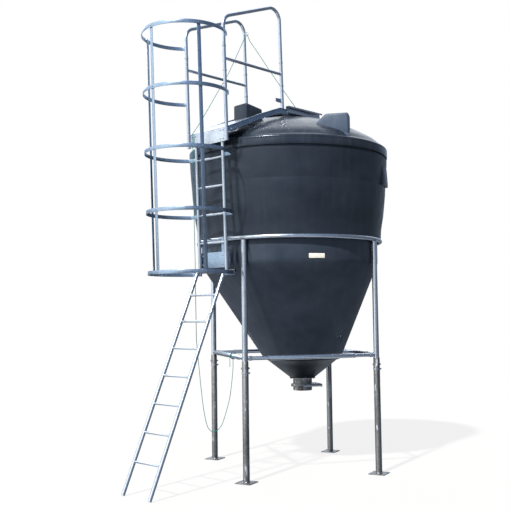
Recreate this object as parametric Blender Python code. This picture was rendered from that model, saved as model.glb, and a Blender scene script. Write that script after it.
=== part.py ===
"""A feed silo: a moulded plastic tank on a galvanised tube frame, with a caged ladder to its lid.

Metres, +Z up, the ground at Z = 0. The pieces are laid out about the tank's own axis and then moved
together, so that the middle of the silo's plan stands over the world's origin.
"""

import math

import bmesh
import bpy
from mathutils import Matrix, Quaternion, Vector

GAP = 0.0003                     # left between pieces that touch
PLAN_CENTRE = (-0.4515, -0.0805) # middle of the whole plan, seen from the tank's axis

# Frame
LEG_OFFSET = 0.745               # from the tank's axis to each leg, along X and along Y
UPPER_LEG_RADIUS = 0.030
LOWER_LEG_RADIUS = 0.035
LOWER_LEG_BORE = 0.0305
LOWER_LEG_TOP = 1.255
LOWER_LEG_FLOOR = 0.014
UPPER_LEG_FOOT = 0.98
FOOT_PLATE_SIDE = 0.18
FOOT_PLATE_THICKNESS = 0.010
RING_RADIUS = LEG_OFFSET * math.sqrt(2)
RING_TUBE = 0.024
RING_HEIGHT = 2.56
STUB_DROP = 0.27                 # how far the spare socket hangs below the ring
STUB_RADIUS = 0.025
CROSS_TUBE_HEIGHT = 1.285
CROSS_TUBE_RADIUS = 0.021
SLEEVE_RADIUS = 0.026
SLEEVE_HALF_LENGTH = 0.49

# Tank
WALL = 0.012
SHOULDER_HEIGHT = RING_HEIGHT + RING_TUBE + GAP
BAND_RADIUS = 1.020
BAND_FOOT = 2.300
KNUCKLE_RADIUS = 0.462
KNUCKLE_HEIGHT = 1.245
OUTLET_SHIFT = (0.172, 0.100)    # the outlet's axis, seen from the tank's axis
OUTLET_CONE_TOP = 0.405
OUTLET_CONE_FOOT = 0.145
OUTLET_CONE_FOOT_HEIGHT = 1.000
RIM_FOOT = 3.512
DRUM_PROFILE = ((1.062, SHOULDER_HEIGHT), (1.068, 2.68), (1.095, 2.84), (1.122, 3.09), (1.143, 3.37),
                (1.150, RIM_FOOT - GAP))
RIM_TOP = 3.625
RIM_RADIUS = 1.156
DOME_RADIUS = 1.120
DOME_EDGE = 3.650
DOME_RISE = 0.380
NECK_RADIUS = 0.240
NECK_TOP = 4.070
LID_RADIUS = 0.258
LID_SLOPE_TOP = NECK_TOP + 0.050
LID_TOP = 4.130

# Outlet and slide gate
SPOUT_RADIUS = 0.110
SPOUT_WALL = 0.004
SPOUT_FLANGE_RADIUS = 0.150
SPOUT_FLANGE_THICKNESS = 0.008
SPOUT_FOOT = 0.925
GATE_BODY_HEIGHT = 0.030
GATE_BODY_HALF_WIDTH = 0.130
GATE_BODY_FRONT = 0.170
GATE_PLATE_HALF_WIDTH = 0.118
GATE_PLATE_THICKNESS = 0.004
GATE_HANDLE_THICKNESS = 0.005
GATE_HANDLE_HALF_HEIGHT = 0.018
GATE_BAR_RADIUS = 0.011      # the bar that the gate is pulled by, along the body's front side
GATE_BAR_SIDE = -0.146
GATE_BAR_BACK = -0.040
GATE_RUNNER_CLEARANCE = 0.0005
GATE_CLEARANCE = 0.005
GATE_RUNNER_WIDTH = 0.012
CHUTE_FOOT = 0.850

# Ladder, cage and handrails, in the ladder's own directions: outward from the tank's axis, sideways, up
LADDER_AZIMUTH = math.radians(210)
LADDER_LEAN = 0.030              # outward for each metre of height above LADDER_FOOT
LADDER_FOOT = 2.20
LADDER_OUT = 1.207
LADDER_HALF_WIDTH = 0.208
STILE_RADIUS = 0.019
RUNG_RADIUS = 0.012
RUNG_SPACING = 0.300
UPPER_RUNG_FIRST = 2.510
UPPER_RUNGS = 4
STILE_FOOT = 2.160
STILE_TOP = 3.700
LADDER_BAR_RADIUS = 0.016
LADDER_BAR_HALF_LENGTH = 0.300
LADDER_BAR_HEIGHT = 2.205
LOWER_LADDER_FOOT_OUT = 2.240
LOWER_RUNG_FIRST = 0.345
LOWER_RUNGS = 7
PLATE_HALF_WIDTH = 0.230
PLATE_FOOT = 2.245
PLATE_TOP = 2.410
PLATE_THICKNESS = 0.006
BRACKET_OFFSET = 0.130
BRACKET_WIDTH = 0.036
BRACKET_THICKNESS = 0.008
HOOP_SPACING = 0.624
HOOP_LOWEST = 2.180
HOOPS = 5
HOOP_OUT = 1.514
HOOP_RADIUS = 0.449
FLAT_WIDTH = 0.040
FLAT_THICKNESS = 0.005
CAGE_BAR_ANGLE = math.radians(68)
HOOP_FACET = CAGE_BAR_ANGLE / 6  # each cage bar lies flat against one facet of every hoop
HOOP_FACETS = 11
RAIL_RADIUS = 0.019
RAIL_HALF_SPACING = 0.300
RAIL_OUT = 1.232
RAIL_IN = {"left": 0.318, "right": 0.354}  # the left rail is a little longer
RAIL_FOOT = 3.560
RAIL_TOP_OUT = 4.874
RAIL_TOP_SLOPE = 0.380
RAIL_BENDS = (0.140, 0.120)
MID_RAIL_HEIGHT = 4.430
MID_RAIL_RADIUS = 0.85 * RAIL_RADIUS

# Steelwork on the roof, in the ladder's directions
BEAM_DEPTH = 0.060
BEAM_END_HEIGHT = 3.720
BEAM_OUT = RAIL_OUT - RAIL_RADIUS - GAP + LADDER_LEAN * (BEAM_END_HEIGHT - BEAM_DEPTH - LADDER_FOOT)
BEAM_TOP_LINE = ((BEAM_OUT, BEAM_END_HEIGHT), (0.750, 3.935), (0.470, 4.040), (0.330, 4.040))
BEAM_WIDTH = 0.040
CHANNEL_FAR_END = -0.260
CHANNEL_HEIGHT = 0.080
CHANNEL_WIDTH = 0.045
CHANNEL_WALL = 0.005
CHANNEL_LIP = 0.018
STEP_RISER_FOOT = 3.560
STEP_TOP = 3.712
STEP_INNER = 0.850
STEP_THICKNESS = 0.005
STEP_SLOPE = 0.4165

# Pull rope
ROPE_RADIUS = 0.004
ROPE_RISE = math.radians(58)     # the rope's slope up to the eye
ROPE_FALL = math.radians(61)     # and down from it
ROPE_BEND = 0.019                # radius of its bend over the eye
TIE_ALONG = -0.216               # where the rope is tied to the left cross tube's sleeve, along Y
LID_KNOT = (0.0, 0.15)           # outward and sideways
KNOT_SIZE = 0.014
EYE_RING = 0.020
EYE_WIRE = 0.005
EYE_HEIGHT = 5.035

PLASTIC = ((0.018, 0.019, 0.022), 0.0, 0.38)
GALVANISED = ((0.52, 0.55, 0.58), 0.85, 0.38)
WEATHERED = ((0.30, 0.31, 0.32), 0.80, 0.52)
BLUE_GREY = ((0.30, 0.36, 0.43), 0.70, 0.42)
TEAL_ROPE = ((0.10, 0.42, 0.40), 0.0, 0.85)


def clear_scene():
    for item in list(bpy.data.objects):
        bpy.data.objects.remove(item, do_unlink=True)


def finish(item, surface):
    """Give a piece a material of its own."""
    colour, metallic, roughness = surface
    material = bpy.data.materials.new(item.name + "_finish")
    material.use_nodes = True
    shader = material.node_tree.nodes["Principled BSDF"]
    shader.inputs["Base Color"].default_value = (*colour, 1.0)
    shader.inputs["Metallic"].default_value = metallic
    shader.inputs["Roughness"].default_value = roughness
    material.diffuse_color = (*colour, 1.0)
    item.data.materials.clear()
    item.data.materials.append(material)
    return item


def mesh_item(name, bm, smooth=True):
    """Turn a bmesh into an object, its faces outward."""
    bmesh.ops.recalc_face_normals(bm, faces=bm.faces)
    mesh = bpy.data.meshes.new(name)
    bm.to_mesh(mesh)
    bm.free()
    if smooth:
        mesh.shade_smooth()
        mesh.set_sharp_from_angle(angle=math.radians(35))
    item = bpy.data.objects.new(name, mesh)
    bpy.context.collection.objects.link(item)
    return item


def as_mesh(item):
    """Replace a curve object by the mesh that it makes."""
    graph = bpy.context.evaluated_depsgraph_get()
    mesh = bpy.data.meshes.new_from_object(item.evaluated_get(graph))
    name = item.name
    bpy.data.objects.remove(item, do_unlink=True)
    solid = bpy.data.objects.new(name, mesh)
    bpy.context.collection.objects.link(solid)
    return solid


def combine(item, others, operation):
    """Join or cut a piece with other solids, which are used up."""
    for other in others:
        boolean = item.modifiers.new(operation, "BOOLEAN")
        boolean.operation = operation
        boolean.solver = "EXACT"
        boolean.object = other
        graph = bpy.context.evaluated_depsgraph_get()
        mesh = bpy.data.meshes.new_from_object(item.evaluated_get(graph))
        item.modifiers.clear()
        item.data = mesh
        bpy.data.objects.remove(other, do_unlink=True)
    mesh = item.data
    mesh.shade_smooth()
    mesh.set_sharp_from_angle(angle=math.radians(35))
    return item


def loft(name, sections, segments=48, hollow=True):
    """A round shell or solid through circles, each (radius, height, shift of its centre)."""
    bm = bmesh.new()
    rings = []
    for radius, height, shift in sections:
        place = Matrix.Translation((shift[0], shift[1], height))
        circle = bmesh.ops.create_circle(bm, cap_ends=not hollow, segments=segments, radius=radius,
                                         matrix=place)
        rings.append(circle["verts"])
    if not hollow:
        discs = list({face for ring in rings[1:-1] for face in ring[0].link_faces})
        bmesh.ops.delete(bm, geom=discs, context="FACES_ONLY")
    pairs = list(zip(rings, rings[1:]))
    if hollow:
        pairs.append((rings[-1], rings[0]))
    for lower, upper in pairs:
        for here in range(segments):
            there = (here + 1) % segments
            bm.faces.new((lower[here], lower[there], upper[there], upper[here]))
    return mesh_item(name, bm)


def centred(profile, shift=(0.0, 0.0)):
    return [(radius, height, shift) for radius, height in profile]


def rod(name, start, end, radius, sides=16):
    """A straight round bar between two points."""
    start, end = Vector(start), Vector(end)
    run = end - start
    place = Matrix.Translation((start + end) / 2) @ run.to_track_quat("Z", "Y").to_matrix().to_4x4()
    bm = bmesh.new()
    bmesh.ops.create_cone(bm, cap_ends=True, segments=sides, radius1=radius, radius2=radius,
                          depth=run.length, matrix=place)
    return mesh_item(name, bm)


def block(name, low, high, place=None):
    """A box between two corners, each of its corners put in place by a function."""
    low, high = Vector(low), Vector(high)
    bm = bmesh.new()
    bmesh.ops.create_cube(bm, size=1.0)
    for vert in bm.verts:
        point = Vector((low[axis] if vert.co[axis] < 0 else high[axis]) for axis in range(3))
        vert.co = place(point) if place else point
    return mesh_item(name, bm, smooth=False)


def between(name, near, far, bevel=0.0):
    """A solid between two outlines of as many points; bevel rounds all edges but those of the foot."""
    bm = bmesh.new()
    near = [bm.verts.new(point) for point in near]
    far = [bm.verts.new(point) for point in far]
    bm.faces.new(near)
    bm.faces.new(far)
    for here in range(len(near)):
        there = (here + 1) % len(near)
        bm.faces.new((near[here], near[there], far[there], far[here]))
    if bevel:
        foot = min(vert.co.z for vert in bm.verts) + GAP
        edges = [edge for edge in bm.edges if max(vert.co.z for vert in edge.verts) > foot]
        bmesh.ops.bevel(bm, geom=edges, offset=bevel, segments=2, profile=0.5, affect="EDGES")
    return mesh_item(name, bm, smooth=bool(bevel))


def prism(name, outline, depth_from, depth_to, place):
    """A flat outline of (a, b) points carried between two depths; place(a, b, depth) sets each corner."""
    near = [place(a, b, depth_from) for a, b in outline]
    far = [place(a, b, depth_to) for a, b in outline]
    return between(name, near, far)


def rounded(points, radius, steps=5):
    """A path through corner points, its inner corners rounded by arcs."""
    points = [Vector(point) for point in points]
    radii = radius if isinstance(radius, (list, tuple)) else [radius] * (len(points) - 2)
    path = [points[0]]
    for before, corner, after, bend in zip(points, points[1:], points[2:], radii):
        back = (before - corner).normalized()
        ahead = (after - corner).normalized()
        half = back.angle(ahead) / 2
        centre = corner + (back + ahead).normalized() * bend / math.sin(half)
        start = corner + back * bend / math.tan(half) - centre
        axis = start.cross(corner + ahead * bend / math.tan(half) - centre)
        turn = math.pi - 2 * half
        path += [centre + Quaternion(axis, turn * step / steps) @ start for step in range(steps + 1)]
    return path + [points[-1]]


def tube(name, path, radius, resolution=4):
    """A curve object with a round bevel and filled caps."""
    curve = bpy.data.curves.new(name, "CURVE")
    curve.dimensions = "3D"
    curve.bevel_depth = radius
    curve.bevel_resolution = resolution
    curve.use_fill_caps = True
    spline = curve.splines.new("POLY")
    spline.points.add(len(path) - 1)
    for point, place in zip(spline.points, path):
        point.co = (*place, 1.0)
    item = bpy.data.objects.new(name, curve)
    bpy.context.collection.objects.link(item)
    return item


def at_ladder(point, lean=LADDER_LEAN):
    """From the ladder's directions (outward, sideways, up) to the tank's."""
    out, side, up = point
    out += lean * (up - LADDER_FOOT)
    cos, sin = math.cos(LADDER_AZIMUTH), math.sin(LADDER_AZIMUTH)
    return Vector((out * cos - side * sin, out * sin + side * cos, up))


def at_roof(point):
    return at_ladder(point, lean=0.0)


def dome_height(radius):
    return DOME_EDGE + DOME_RISE * (1 - (radius / DOME_RADIUS) ** 2)


def inset_profile(profile, wall):
    """The inner side of a wall whose outer side is given from its foot up."""
    return [(radius - wall, height) for radius, height in reversed(profile)]


def make_drum():
    inner = inset_profile(DRUM_PROFILE[1:], WALL)
    foot = [(BAND_RADIUS - WALL, SHOULDER_HEIGHT + WALL), (BAND_RADIUS - WALL, SHOULDER_HEIGHT)]
    drum = loft("drum_wall", centred([*DRUM_PROFILE, *inner, (1.050, 2.64), *foot]))
    return finish(drum, PLASTIC)


def make_hopper():
    still, out = (0.0, 0.0), OUTLET_SHIFT
    top = SHOULDER_HEIGHT - GAP
    sections = [
        (BAND_RADIUS, top, still),
        (BAND_RADIUS, BAND_FOOT + 0.02, still),
        (BAND_RADIUS - 0.012, BAND_FOOT - 0.02, still),
        (KNUCKLE_RADIUS, KNUCKLE_HEIGHT, out),
        (KNUCKLE_RADIUS - WALL, KNUCKLE_HEIGHT, out),
        (BAND_RADIUS - 0.012 - WALL, BAND_FOOT - 0.015, still),
        (BAND_RADIUS - WALL, BAND_FOOT + 0.025, still),
        (BAND_RADIUS - WALL, top, still),
    ]
    return finish(loft("hopper", sections), PLASTIC)


def make_outlet_cone():
    outer = [(KNUCKLE_RADIUS, KNUCKLE_HEIGHT - GAP), (KNUCKLE_RADIUS - 0.010, KNUCKLE_HEIGHT - 0.024),
             (OUTLET_CONE_TOP, KNUCKLE_HEIGHT - 0.042), (OUTLET_CONE_FOOT, OUTLET_CONE_FOOT_HEIGHT)]
    bore = SPOUT_RADIUS - SPOUT_WALL
    inner = [(bore, OUTLET_CONE_FOOT_HEIGHT), (bore, OUTLET_CONE_FOOT_HEIGHT + WALL),
             (OUTLET_CONE_TOP - WALL, KNUCKLE_HEIGHT - 0.026),
             (KNUCKLE_RADIUS - WALL, KNUCKLE_HEIGHT - GAP)]
    cone = loft("outlet_cone", centred(outer + inner, OUTLET_SHIFT), segments=40)
    return finish(cone, PLASTIC)


def rim_upstand():
    """The upstand at the dome's edge: a long upright face to the front left, its inner end sloped."""
    corner = Vector((0.350, -1.045))
    along = Vector((math.cos(math.radians(152)), math.sin(math.radians(152))))
    across = Vector((along.y, -along.x)) * 0.18
    top, foot = 3.895, 3.520
    front = [(0.0, foot), (0.385, foot), (0.385, 3.775), (0.25, top), (0.0, top)]
    near = [(*(corner + along * run), height) for run, height in front]
    far = [(*(corner + along * run + across), height) for run, height in front]
    return between("rim_upstand", near, far, bevel=0.022)


def step_upstand():
    """The upstand between the two roof beams, just inside the step plate."""
    side = [(0.78, 3.82), (0.52, 3.82), (0.52, 4.055), (0.78, 4.090)]
    near = [at_roof((out, 0.10, height)) for out, height in side]
    far = [at_roof((out, -0.11, height)) for out, height in side]
    return between("step_upstand", near, far, bevel=0.022)


def make_roof():
    seat = RAIL_HALF_SPACING - CHANNEL_WIDTH / 2
    rings = (1.090, 0.960, 0.800, 0.620, 0.430, seat, NECK_RADIUS + 0.012)
    dome = [(radius, dome_height(radius)) for radius in rings]
    outer = [(RIM_RADIUS, RIM_FOOT), (RIM_RADIUS, RIM_TOP - 0.035), (RIM_RADIUS - 0.014, RIM_TOP),
             (RIM_RADIUS - 0.044, RIM_TOP + 0.022), *dome]
    neck = [(NECK_RADIUS, dome_height(NECK_RADIUS) + 0.010), (NECK_RADIUS, NECK_TOP),
            (NECK_RADIUS - WALL, NECK_TOP), (NECK_RADIUS - WALL, dome_height(NECK_RADIUS) - WALL)]
    inner = [(radius, height - WALL) for radius, height in reversed(dome[:-1])]
    edge = [(RIM_RADIUS - WALL, RIM_TOP - 0.045), (RIM_RADIUS - WALL, RIM_FOOT)]
    roof = loft("roof", centred([*outer, *neck, *inner, *edge]))
    under_dome = [*reversed(edge), *reversed(inner), (0.10, dome_height(0.10) - WALL)]
    hollow = loft("roof_inside", centred(under_dome), hollow=False)
    blocks = [rim_upstand(), step_upstand()]
    for item in blocks:
        inside = hollow.copy()
        inside.data = hollow.data.copy()
        bpy.context.collection.objects.link(inside)
        combine(item, [inside], "DIFFERENCE")
    bpy.data.objects.remove(hollow, do_unlink=True)
    return finish(combine(roof, blocks, "UNION"), PLASTIC)


def make_lid():
    """The cover that drops over the filling neck and rests on its edge."""
    foot = NECK_TOP + GAP
    skirt = NECK_RADIUS + 0.004
    ledge = NECK_RADIUS - WALL - 0.002
    inside = [(0.030, LID_TOP - WALL), (0.150, LID_SLOPE_TOP - WALL), (ledge, foot + WALL), (ledge, foot),
              (skirt, foot), (skirt, foot - 0.030)]
    outside = [(LID_RADIUS, foot - 0.030), (LID_RADIUS, foot + 0.010), (LID_RADIUS - 0.012, foot + 0.022),
               (0.150, LID_SLOPE_TOP), (0.030, LID_TOP)]
    return finish(loft("lid", centred(inside + outside), segments=40, hollow=False), PLASTIC)


def make_ring():
    bpy.ops.mesh.primitive_torus_add(major_radius=RING_RADIUS, minor_radius=RING_TUBE, major_segments=64,
                                     minor_segments=12, location=(0, 0, RING_HEIGHT))
    ring = bpy.context.object
    ring.name = "top_ring"
    ring.data.shade_smooth()
    return finish(ring, GALVANISED)


def ring_cutter():
    bpy.ops.mesh.primitive_torus_add(major_radius=RING_RADIUS, minor_radius=RING_TUBE + GAP,
                                     major_segments=64, minor_segments=12, location=(0, 0, RING_HEIGHT))
    return bpy.context.object


LEGS = {
    "rear_left": (-LEG_OFFSET, LEG_OFFSET),
    "front_left": (-LEG_OFFSET, -LEG_OFFSET),
    "front_right": (LEG_OFFSET, -LEG_OFFSET),
    "rear_right": (LEG_OFFSET, LEG_OFFSET),
}


def make_upper_leg(name, place):
    """The upper tube, coped to the ring at its top and plugged into the lower leg at its foot."""
    leg = rod("upper_leg_" + name, (*place, UPPER_LEG_FOOT), (*place, RING_HEIGHT), UPPER_LEG_RADIUS)
    return finish(combine(leg, [ring_cutter()], "DIFFERENCE"), GALVANISED)


def make_lower_leg(name, place):
    """The lower tube with its welded foot plate, whose sides lie along the frame's diagonals."""
    profile = [(LOWER_LEG_RADIUS, FOOT_PLATE_THICKNESS / 2), (LOWER_LEG_RADIUS, LOWER_LEG_TOP),
               (LOWER_LEG_BORE, LOWER_LEG_TOP), (LOWER_LEG_BORE, LOWER_LEG_FLOOR)]
    leg = loft("lower_leg_" + name, centred(profile, place), segments=16, hollow=False)
    half = FOOT_PLATE_SIDE / 2
    turn = Matrix.Translation((*place, 0)) @ Matrix.Rotation(math.radians(45), 4, "Z")
    low, high = (-half, -half, 0), (half, half, FOOT_PLATE_THICKNESS)
    plate = block("plate", low, high, lambda point: turn @ point)
    return finish(combine(leg, [plate], "UNION"), WEATHERED)


def make_stub():
    """The spare socket under the ring, halfway between the two right legs."""
    foot = (RING_RADIUS, 0, RING_HEIGHT - STUB_DROP)
    stub = rod("ring_stub", foot, (RING_RADIUS, 0, RING_HEIGHT), STUB_RADIUS)
    return finish(combine(stub, [ring_cutter()], "DIFFERENCE"), GALVANISED)


def make_cross_tube(name, start, end):
    """A tube from leg to leg, coped to both, with the thicker sleeve that joins its halves."""
    start = Vector((*start, CROSS_TUBE_HEIGHT))
    end = Vector((*end, CROSS_TUBE_HEIGHT))
    middle = (start + end) / 2
    along = (end - start).normalized() * SLEEVE_HALF_LENGTH
    bar = rod("cross_tube_" + name, start, end, CROSS_TUBE_RADIUS)
    sleeve = rod("sleeve", middle - along, middle + along, SLEEVE_RADIUS)
    combine(bar, [sleeve], "UNION")
    reach = Vector((0, 0, 0.1))
    cutters = []
    for point in (start, end):
        cutters.append(rod("leg_cutter", point - reach, point + reach, UPPER_LEG_RADIUS + GAP))
    return finish(combine(bar, cutters, "DIFFERENCE"), GALVANISED)


def make_frame():
    make_ring()
    for name, place in LEGS.items():
        make_upper_leg(name, place)
        make_lower_leg(name, place)
    make_stub()
    make_cross_tube("front", LEGS["front_left"], LEGS["front_right"])
    make_cross_tube("rear", LEGS["rear_left"], LEGS["rear_right"])
    make_cross_tube("left", LEGS["front_left"], LEGS["rear_left"])
    make_cross_tube("right", LEGS["front_right"], LEGS["rear_right"])


def make_spout():
    top = OUTLET_CONE_FOOT_HEIGHT - GAP
    under = top - SPOUT_FLANGE_THICKNESS
    bore = SPOUT_RADIUS - SPOUT_WALL
    profile = [(SPOUT_FLANGE_RADIUS, top), (SPOUT_FLANGE_RADIUS, under), (SPOUT_RADIUS, under),
               (SPOUT_RADIUS, SPOUT_FOOT), (bore, SPOUT_FOOT), (bore, top)]
    return finish(loft("spout", centred(profile, OUTLET_SHIFT), segments=32), GALVANISED)


def outlet_block(name, low, high):
    shift = Vector((*OUTLET_SHIFT, 0))
    return block(name, Vector(low) + shift, Vector(high) + shift)


def outlet_rod(name, low, high, radius):
    return rod(name, (*OUTLET_SHIFT, low), (*OUTLET_SHIFT, high), radius, sides=32)


def gate_middle():
    return SPOUT_FOOT - GAP - GATE_BODY_HEIGHT / 2


def round_backed(name, half_width, back, front, low, high):
    """A flat block on the outlet's axis whose back end is half a circle."""
    steps = 16
    turns = [math.pi / 2 + math.pi * step / steps for step in range(steps + 1)]
    outline = [(back + half_width * (1 + math.cos(turn)), half_width * math.sin(turn)) for turn in turns]
    outline += [(front, -half_width), (front, half_width)]
    x, y = OUTLET_SHIFT
    return between(name, [(x + out, y + side, low) for out, side in outline],
                   [(x + out, y + side, high) for out, side in outline])


def make_gate_frame():
    """The body that the gate slides in, with a groove for the edge of its plate, and the chute below."""
    top = SPOUT_FOOT - GAP
    middle = gate_middle()
    half_plate = GATE_PLATE_THICKNESS / 2
    half_width = GATE_BODY_HALF_WIDTH
    body = round_backed("gate_frame", half_width, -half_width - GATE_CLEARANCE, GATE_BODY_FRONT,
                        top - GATE_BODY_HEIGHT, top)
    chute = outlet_rod("chute", CHUTE_FOOT, top - GATE_BODY_HEIGHT / 2, SPOUT_RADIUS)
    combine(body, [chute], "UNION")
    open_end = GATE_BODY_FRONT + 0.05
    wide = GATE_PLATE_HALF_WIDTH - GATE_RUNNER_WIDTH
    slot_half = half_plate + GATE_CLEARANCE
    slot = round_backed("slot", wide, -wide - GATE_CLEARANCE, open_end,
                        middle - slot_half, middle + slot_half)
    groove_half = half_plate + GATE_RUNNER_CLEARANCE
    groove_side = GATE_PLATE_HALF_WIDTH + GATE_RUNNER_CLEARANCE
    groove = round_backed("groove", groove_side, -groove_side - GATE_CLEARANCE, open_end,
                          middle - groove_half, middle + groove_half)
    bore = outlet_rod("bore", CHUTE_FOOT - 0.05, top + 0.05, SPOUT_RADIUS - SPOUT_WALL)
    return finish(combine(body, [slot, groove, bore], "DIFFERENCE"), GALVANISED)


def make_slide_gate():
    """The plate that shuts the spout, its outer end turned up to carry the bar that it is pulled by."""
    middle = gate_middle()
    half = GATE_PLATE_THICKNESS / 2
    side = GATE_PLATE_HALF_WIDTH
    handle_in = GATE_BODY_FRONT + 0.012
    handle_out = handle_in + GATE_HANDLE_THICKNESS
    plate = round_backed("slide_gate", side, -side, handle_out, middle - half, middle + half)
    tall = GATE_HANDLE_HALF_HEIGHT
    handle = outlet_block("handle", (handle_in, GATE_BAR_SIDE - tall, middle - tall),
                          (handle_out, side - 0.02, middle + tall))
    x, y = OUTLET_SHIFT
    bar = rod("pull_bar", (x + GATE_BAR_BACK, y + GATE_BAR_SIDE, middle),
              (x + handle_in + 0.002, y + GATE_BAR_SIDE, middle), GATE_BAR_RADIUS, sides=12)
    return finish(combine(plate, [handle, bar], "UNION"), WEATHERED)


def make_upper_ladder():
    stiles = []
    for side in (-LADDER_HALF_WIDTH, LADDER_HALF_WIDTH):
        ends = [at_ladder((LADDER_OUT, side, height)) for height in (STILE_FOOT, STILE_TOP)]
        stiles.append(rod("upper_ladder", ends[0], ends[1], STILE_RADIUS, sides=12))
    rungs = []
    for step in range(UPPER_RUNGS):
        height = UPPER_RUNG_FIRST + RUNG_SPACING * step
        ends = [at_ladder((LADDER_OUT, side, height)) for side in (-LADDER_HALF_WIDTH, LADDER_HALF_WIDTH)]
        rungs.append(rod("rung", ends[0], ends[1], RUNG_RADIUS, sides=8))
    return finish(combine(stiles[0], [*rungs, stiles[1]], "UNION"), GALVANISED)


def lower_ladder_line():
    """Foot, direction and length of a lower stile, whose top end just touches the upper stile."""
    top_height = LADDER_FOOT
    angle = 0.42
    for _ in range(8):
        top_out = LADDER_OUT + STILE_RADIUS + GAP + STILE_RADIUS * math.cos(angle)
        angle = math.atan2(LOWER_LADDER_FOOT_OUT - top_out, top_height)
    climb = Vector((-math.sin(angle), 0, math.cos(angle)))
    cut = STILE_RADIUS * math.tan(angle)
    foot = Vector((LOWER_LADDER_FOOT_OUT, 0, 0)) + climb * cut
    return foot, climb, math.hypot(LOWER_LADDER_FOOT_OUT - top_out, top_height) - cut


def make_lower_ladder():
    foot, climb, length = lower_ladder_line()
    stiles = []
    for side in (-LADDER_HALF_WIDTH, LADDER_HALF_WIDTH):
        start = foot + Vector((0, side, 0))
        end = start + climb * length
        stiles.append(rod("lower_ladder", at_roof(start), at_roof(end), STILE_RADIUS, sides=12))
    rungs = []
    for step in range(LOWER_RUNGS):
        run = LOWER_RUNG_FIRST + RUNG_SPACING * step
        middle = Vector((LOWER_LADDER_FOOT_OUT, 0, 0)) + climb * run
        half = Vector((0, LADDER_HALF_WIDTH, 0))
        ends = [at_roof(middle - half), at_roof(middle + half)]
        rungs.append(rod("rung", ends[0], ends[1], RUNG_RADIUS, sides=8))
    return finish(combine(stiles[0], [*rungs, stiles[1]], "UNION"), GALVANISED)


def make_ladder_bar():
    """The bar behind the foot of the upper stiles, which reaches out past both of them."""
    out = LADDER_OUT - STILE_RADIUS - LADDER_BAR_RADIUS - 2 * GAP
    half = LADDER_BAR_HALF_LENGTH
    ends = [at_roof((out, side, LADDER_BAR_HEIGHT)) for side in (-half, half)]
    return finish(rod("ladder_bar", ends[0], ends[1], LADDER_BAR_RADIUS, sides=12), GALVANISED)


def make_ladder_plate():
    """The plate behind the stiles, and the two arms that carry it from the ring."""
    face = LADDER_OUT - STILE_RADIUS - GAP
    back = face - PLATE_THICKNESS
    plate = block("ladder_plate", (back, -PLATE_HALF_WIDTH, PLATE_FOOT),
                  (face, PLATE_HALF_WIDTH, PLATE_TOP),
                  at_ladder)
    arms = []
    for side in (-BRACKET_OFFSET, BRACKET_OFFSET):
        low, high = side - BRACKET_WIDTH / 2, side + BRACKET_WIDTH / 2
        arms.append(block("upright", (back - PLATE_THICKNESS, low, PLATE_FOOT + 0.02),
                          (back + PLATE_THICKNESS / 2, high, RING_HEIGHT + BRACKET_THICKNESS), at_ladder))
        end = back + LADDER_LEAN * (RING_HEIGHT - LADDER_FOOT)
        arm = block("arm", (RING_RADIUS, low, RING_HEIGHT - BRACKET_THICKNESS / 2),
                    (end, high, RING_HEIGHT + BRACKET_THICKNESS / 2), at_roof)
        arms.append(combine(arm, [ring_cutter()], "DIFFERENCE"))
    return finish(combine(plate, arms, "UNION"), GALVANISED)


def flat_strip(name, line, low, high):
    """A flat bar on edge along a line of (outward, sideways) points."""
    line = [Vector(point) for point in line]
    sides = []
    for sign in (1, -1):
        row = []
        for index, point in enumerate(line):
            before = (point - line[index - 1]).normalized() if index else (line[1] - point).normalized()
            after = (line[index + 1] - point).normalized() if index + 1 < len(line) else before
            along = (before + after).normalized()
            normal = Vector((-along.y, along.x)) / max(0.5, along.dot(after))
            row.append(point + normal * sign * FLAT_THICKNESS / 2)
        sides.append(row)
    outline = sides[0] + sides[1][::-1]
    return prism(name, outline, low, high, lambda a, b, height: at_ladder((a, b, height)))


def make_hoop(number):
    """One cage hoop, its ends fixed to the handrail posts or, lower down, to the ladder's stiles."""
    height = HOOP_LOWEST + HOOP_SPACING * (number - 1)
    on_posts = height > RAIL_FOOT
    out = RAIL_OUT if on_posts else LADDER_OUT
    end = RAIL_HALF_SPACING + RAIL_RADIUS if on_posts else LADDER_HALF_WIDTH + STILE_RADIUS
    end += GAP
    reach = math.acos((out - HOOP_OUT) / HOOP_RADIUS)
    turns = [(half + 0.5) * HOOP_FACET for half in range(-HOOP_FACETS, HOOP_FACETS)]
    arc = []
    for angle in (-reach, *turns, reach):
        arc.append((HOOP_OUT + HOOP_RADIUS * math.cos(angle), HOOP_RADIUS * math.sin(angle)))
    line = [(out, -end), *arc, (out, end)]
    hoop = flat_strip("cage_hoop_%d" % number, line, height - FLAT_WIDTH / 2, height + FLAT_WIDTH / 2)
    return finish(hoop, BLUE_GREY)


def make_cage_bar(name, angle):
    """One upright bar of the cage, inside the hoops."""
    outer = HOOP_RADIUS * math.cos(HOOP_FACET / 2) - FLAT_THICKNESS / 2 - GAP
    half = FLAT_WIDTH / 2
    low = HOOP_LOWEST - half
    high = HOOP_LOWEST + HOOP_SPACING * (HOOPS - 1) + half

    def place(point):
        depth, width, height = point
        out = HOOP_OUT + depth * math.cos(angle) - width * math.sin(angle)
        side = depth * math.sin(angle) + width * math.cos(angle)
        return at_ladder((out, side, height))

    bar = block("cage_bar_" + name, (outer - FLAT_THICKNESS, -half, low), (outer, half, high), place)
    return finish(bar, BLUE_GREY)


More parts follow.
